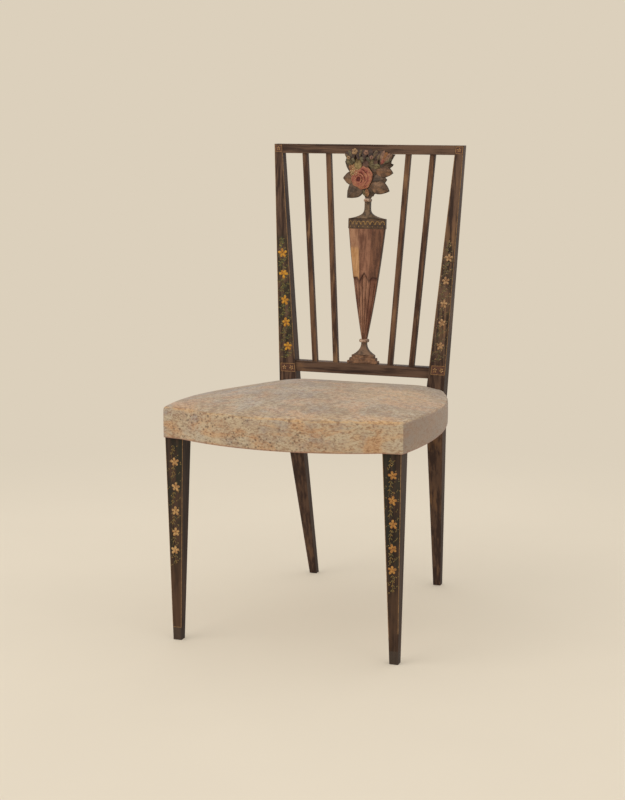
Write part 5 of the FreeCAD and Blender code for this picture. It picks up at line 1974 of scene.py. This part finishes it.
@dataclass
class Chair:
    """The whole chair: CAD nodes with better finishes, and the pieces that replace others."""

    nodes: dict[str, bpy.types.Object]

    def _dress(self, finish: Finish, *names: str) -> None:
        """Give CAD nodes a finish."""
        material = finish.build()
        for name in names:
            data = self.nodes[name].data
            data.materials.clear()
            data.materials.append(material)

    def _frame(self) -> None:
        """Paint the frame and leave its hidden wood bare."""
        for index, (side, wear) in enumerate(((Side.LEFT, 0.4), (Side.RIGHT, 0.62))):
            name = f"leg_paint_{side.word}"
            colours = {"dark": tint(44, 33, 27), "body": tint(78, 58, 46)}
            leg = LegPaint(name, seed=11.0 * index, wear=0.35, **colours)
            self._dress(leg, f"front_leg_{side.word}")
            post = PostPaint(f"post_paint_{side.word}", seed=5.0 + 13.0 * index, wear=wear)
            self._dress(post, f"rear_post_{side.word}")
        rail = PaintedWood("rail_paint", grain=Grain.LEVEL, wear=0.45, seed=2.0)
        self._dress(rail, "crest_rail", "lower_back_rail")
        bars = [f"{place}_{side.word}" for place in ("outer", "inner") for side in Side]
        colours = {"dark": tint(68, 47, 35), "body": tint(112, 81, 58), "worn": tint(150, 114, 80)}
        for index, bar in enumerate(bars):
            paint = PaintedWood(f"bar_paint_{bar}", wear=0.6, seed=3.0 * index, **colours)
            self._dress(paint, f"back_bar_{bar}")
        bare = BareWood("bare_wood", seed=1.0)
        self._dress(bare, "seat_rail_front", "seat_rail_rear")
        deep = BareWood("bare_wood_deep", grain=Grain.DEEP, seed=4.0)
        self._dress(deep, "seat_rail_left", "seat_rail_right")
        blocks = [name for name in self.nodes if name.startswith("corner_block_")]
        blocks.remove("corner_block_screws")
        self._dress(BareWood("block_wood", light=tint(196, 164, 118), seed=8.0), *blocks)
        steel = DullMetal("screw_metal", tint(150, 146, 138), tint(96, 90, 82))
        self._dress(steel, "corner_block_screws")
        iron = DullMetal("tack_metal", tint(96, 90, 84), tint(52, 48, 44))
        self._dress(iron, "webbing_tacks", "cover_tacks")

    @staticmethod
    def _ornament() -> None:
        """Paint flowers, vines, lines and rosettes on legs, stiles and rails."""
        paints = {row[0]: BrushStroke(*row).build() for row in FLOWER_PAINTS}
        parts = ("flowers", "flower_hearts", "leaves", "shoots", "lines")
        faces = ((FrontFace.of_leg, LEG_ORNAMENTS), (FrontFace.of_stile, STILE_ORNAMENTS))
        for face, rows in faces:
            for name, side, (petal, leaf, shoot), *sizes, extras in rows:
                kinds = (petal, "flower_heart", leaf, shoot, "line_gold")
                chosen = {part: paints[kind] for part, kind in zip(parts, kinds)}
                Ornament(name, face(side), chosen, *sizes, **extras).build()
        kinds = {"ground": "rosette_ground", "frame": "frame_gold", "flower": "flower_pale"}
        chosen = {part: paints[kind] for part, kind in kinds.items()}
        for name, side, *sizes in ROSETTES:
            Rosette(name, FrontFace.of_stile(side), chosen, *sizes).build()

    @staticmethod
    def _splat() -> None:
        """Carve the urn and its bouquet."""
        splat = UrnSplat()
        paints = {key: CarvedLeaf(*row).build() for key, row in URN_PAINTS.items()}
        paints["urn"] = UrnPaint("urn_panels").build()
        gold = BrushStroke("urn_gold", tint(190, 150, 88), tint(150, 110, 62), 0.2, 8.0)
        splat.build(paints | {"gold": gold.build()})
        Bouquet(splat).build()
        log.info("splat: %d pieces", len(splat.pieces))

    @staticmethod
    def _seat() -> None:
        """Make the seat and what is under it, and move them to the row frame."""
        plan = SeatPlan()
        seat = SeatCover(plan, SeatFabric("seat_fabric_weave").build()).build()
        jute = PlainWeave("jute_webbing", tint(190, 164, 118), tint(132, 104, 66), 0.0022)
        flax = (tint(206, 190, 158), tint(168, 148, 114))
        linen = PlainWeave("base_linen_weave", *flax, 0.0012, 3.0)
        for piece in (seat, *Underside(plan, jute.build(), linen.build()).build()):
            piece.data.transform(Matrix.Translation((0.0, -MIDDLE_DEPTH, 0.0)))

    def build(self) -> None:
        """Build and dress everything."""
        self._frame()
        self._ornament()
        self._splat()
        self._seat()


@dataclass
class Stage:
    """Camera, lamps and a plain cream sweep of paper."""

    paper: Colour = tint(220, 208, 188)
    sky: Colour = (1.0, 0.99, 0.97)
    sky_power: float = 0.86
    floor_radius: float = 6.0
    floor_level: float = -0.0004
    aim: Triple = (0.0, 0.0, 0.45)
    sensor: float = 36.0
    focal_pixels: float = 1768.5539
    image_pixels: float = 800.0

    def build(self) -> None:
        """Set everything up."""
        self._camera()
        self._lamp("key", (-2.6, -3.4, 3.6), 4.2, 60.0, (1.0, 0.985, 0.96))
        self._lamp("fill", (3.6, -1.6, 2.2), 2.6, 14.0, self.sky)
        self._sky()
        self._floor()

    def _camera(self) -> None:
        """Camera fitted to the picture."""
        data = bpy.data.cameras.new("camera")
        data.sensor_width = self.sensor
        data.lens = self.focal_pixels * self.sensor / self.image_pixels
        data.clip_end = 100.0
        camera = bpy.data.objects.new("camera", data)
        right = Vector((0.93743267, 0.3481666, 0.0))
        up = Vector((-0.05921233, 0.1594282, 0.98543216))
        ahead = Vector((-0.34309457, 0.92377631, -0.17006896))
        turn = Matrix((right, up, -ahead)).transposed().to_4x4()
        camera.matrix_world = Matrix.Translation((1.17522928, -3.25201161, 1.04136256)) @ turn
        bpy.context.scene.collection.objects.link(camera)
        bpy.context.scene.camera = camera
        bpy.context.scene.view_settings.view_transform = "Standard"

    def _lamp(self, name: str, place: Triple, size: float, power: float, colour: Colour) -> None:
        """Soft square lamp that looks at the chair."""
        data = bpy.data.lights.new(name, "AREA")
        data.size, data.energy, data.color = size, power, colour
        lamp = bpy.data.objects.new(name, data)
        lamp.location = place
        way = Vector(self.aim) - Vector(place)
        lamp.rotation_euler = way.to_track_quat("-Z", "Y").to_euler()
        bpy.context.scene.collection.objects.link(lamp)

    def _sky(self) -> None:
        """Even sky that the camera sees as paper."""
        world = bpy.data.worlds.new("sky")
        bpy.context.scene.world = world
        recipe = Recipe(world)
        light = {"Color": self.sky, "Strength": self.sky_power}
        sky = recipe.output("ShaderNodeBackground", light)
        seen = recipe.output("ShaderNodeBackground", {"Color": self.paper})
        camera = recipe.output("ShaderNodeLightPath", name="Is Camera Ray")
        recipe.end(recipe.output("ShaderNodeMixShader", {0: camera, 1: sky, 2: seen}), "World")

    def _floor(self) -> None:
        """Floor that catches the chair's shadow, melts into the background and is clear below."""
        form = Form()
        bmesh.ops.create_circle(form.mesh, cap_ends=True, segments=96, radius=self.floor_radius)
        for point in form.mesh.verts:
            point.co.z = self.floor_level
        floor = form.show("floor")
        recipe = Recipe(bpy.data.materials.new("floor_paper"))
        dark, light = (tuple(part * gain for part in self.paper) for gain in (1.12, 1.16))
        colour = recipe.mix(recipe.cloud(1.4).rise(0.3, 0.7), dark, light)
        inputs = {"Base Color": colour, "Roughness": 1.0}
        surface = recipe.output("ShaderNodeBsdfPrincipled", inputs)
        glow = recipe.output("ShaderNodeEmission", {"Color": self.paper})
        settings = {"operation": "LENGTH"}
        reach = recipe.output("ShaderNodeVectorMath", {0: recipe.place()}, settings, "Value")
        fade = reach.rise(0.9, 1.9) * 0.7 + 0.3
        paper = recipe.output("ShaderNodeMixShader", {0: fade, 1: surface, 2: glow})
        below = recipe.output("ShaderNodeNewGeometry", name="Backfacing")
        clear = recipe.output("ShaderNodeBsdfTransparent")
        recipe.end(recipe.output("ShaderNodeMixShader", {0: below, 1: paper, 2: clear}))
        floor.data.materials.append(recipe.owner)


def main() -> None:
    """Build the chair and its stage."""
    logging.basicConfig(level=logging.INFO, format="%(name)s: %(message)s")
    Stage().build()
    Chair(frame["nodes"]).build()
    bpy.context.view_layer.update()


if __name__ == "__main__":
    main()
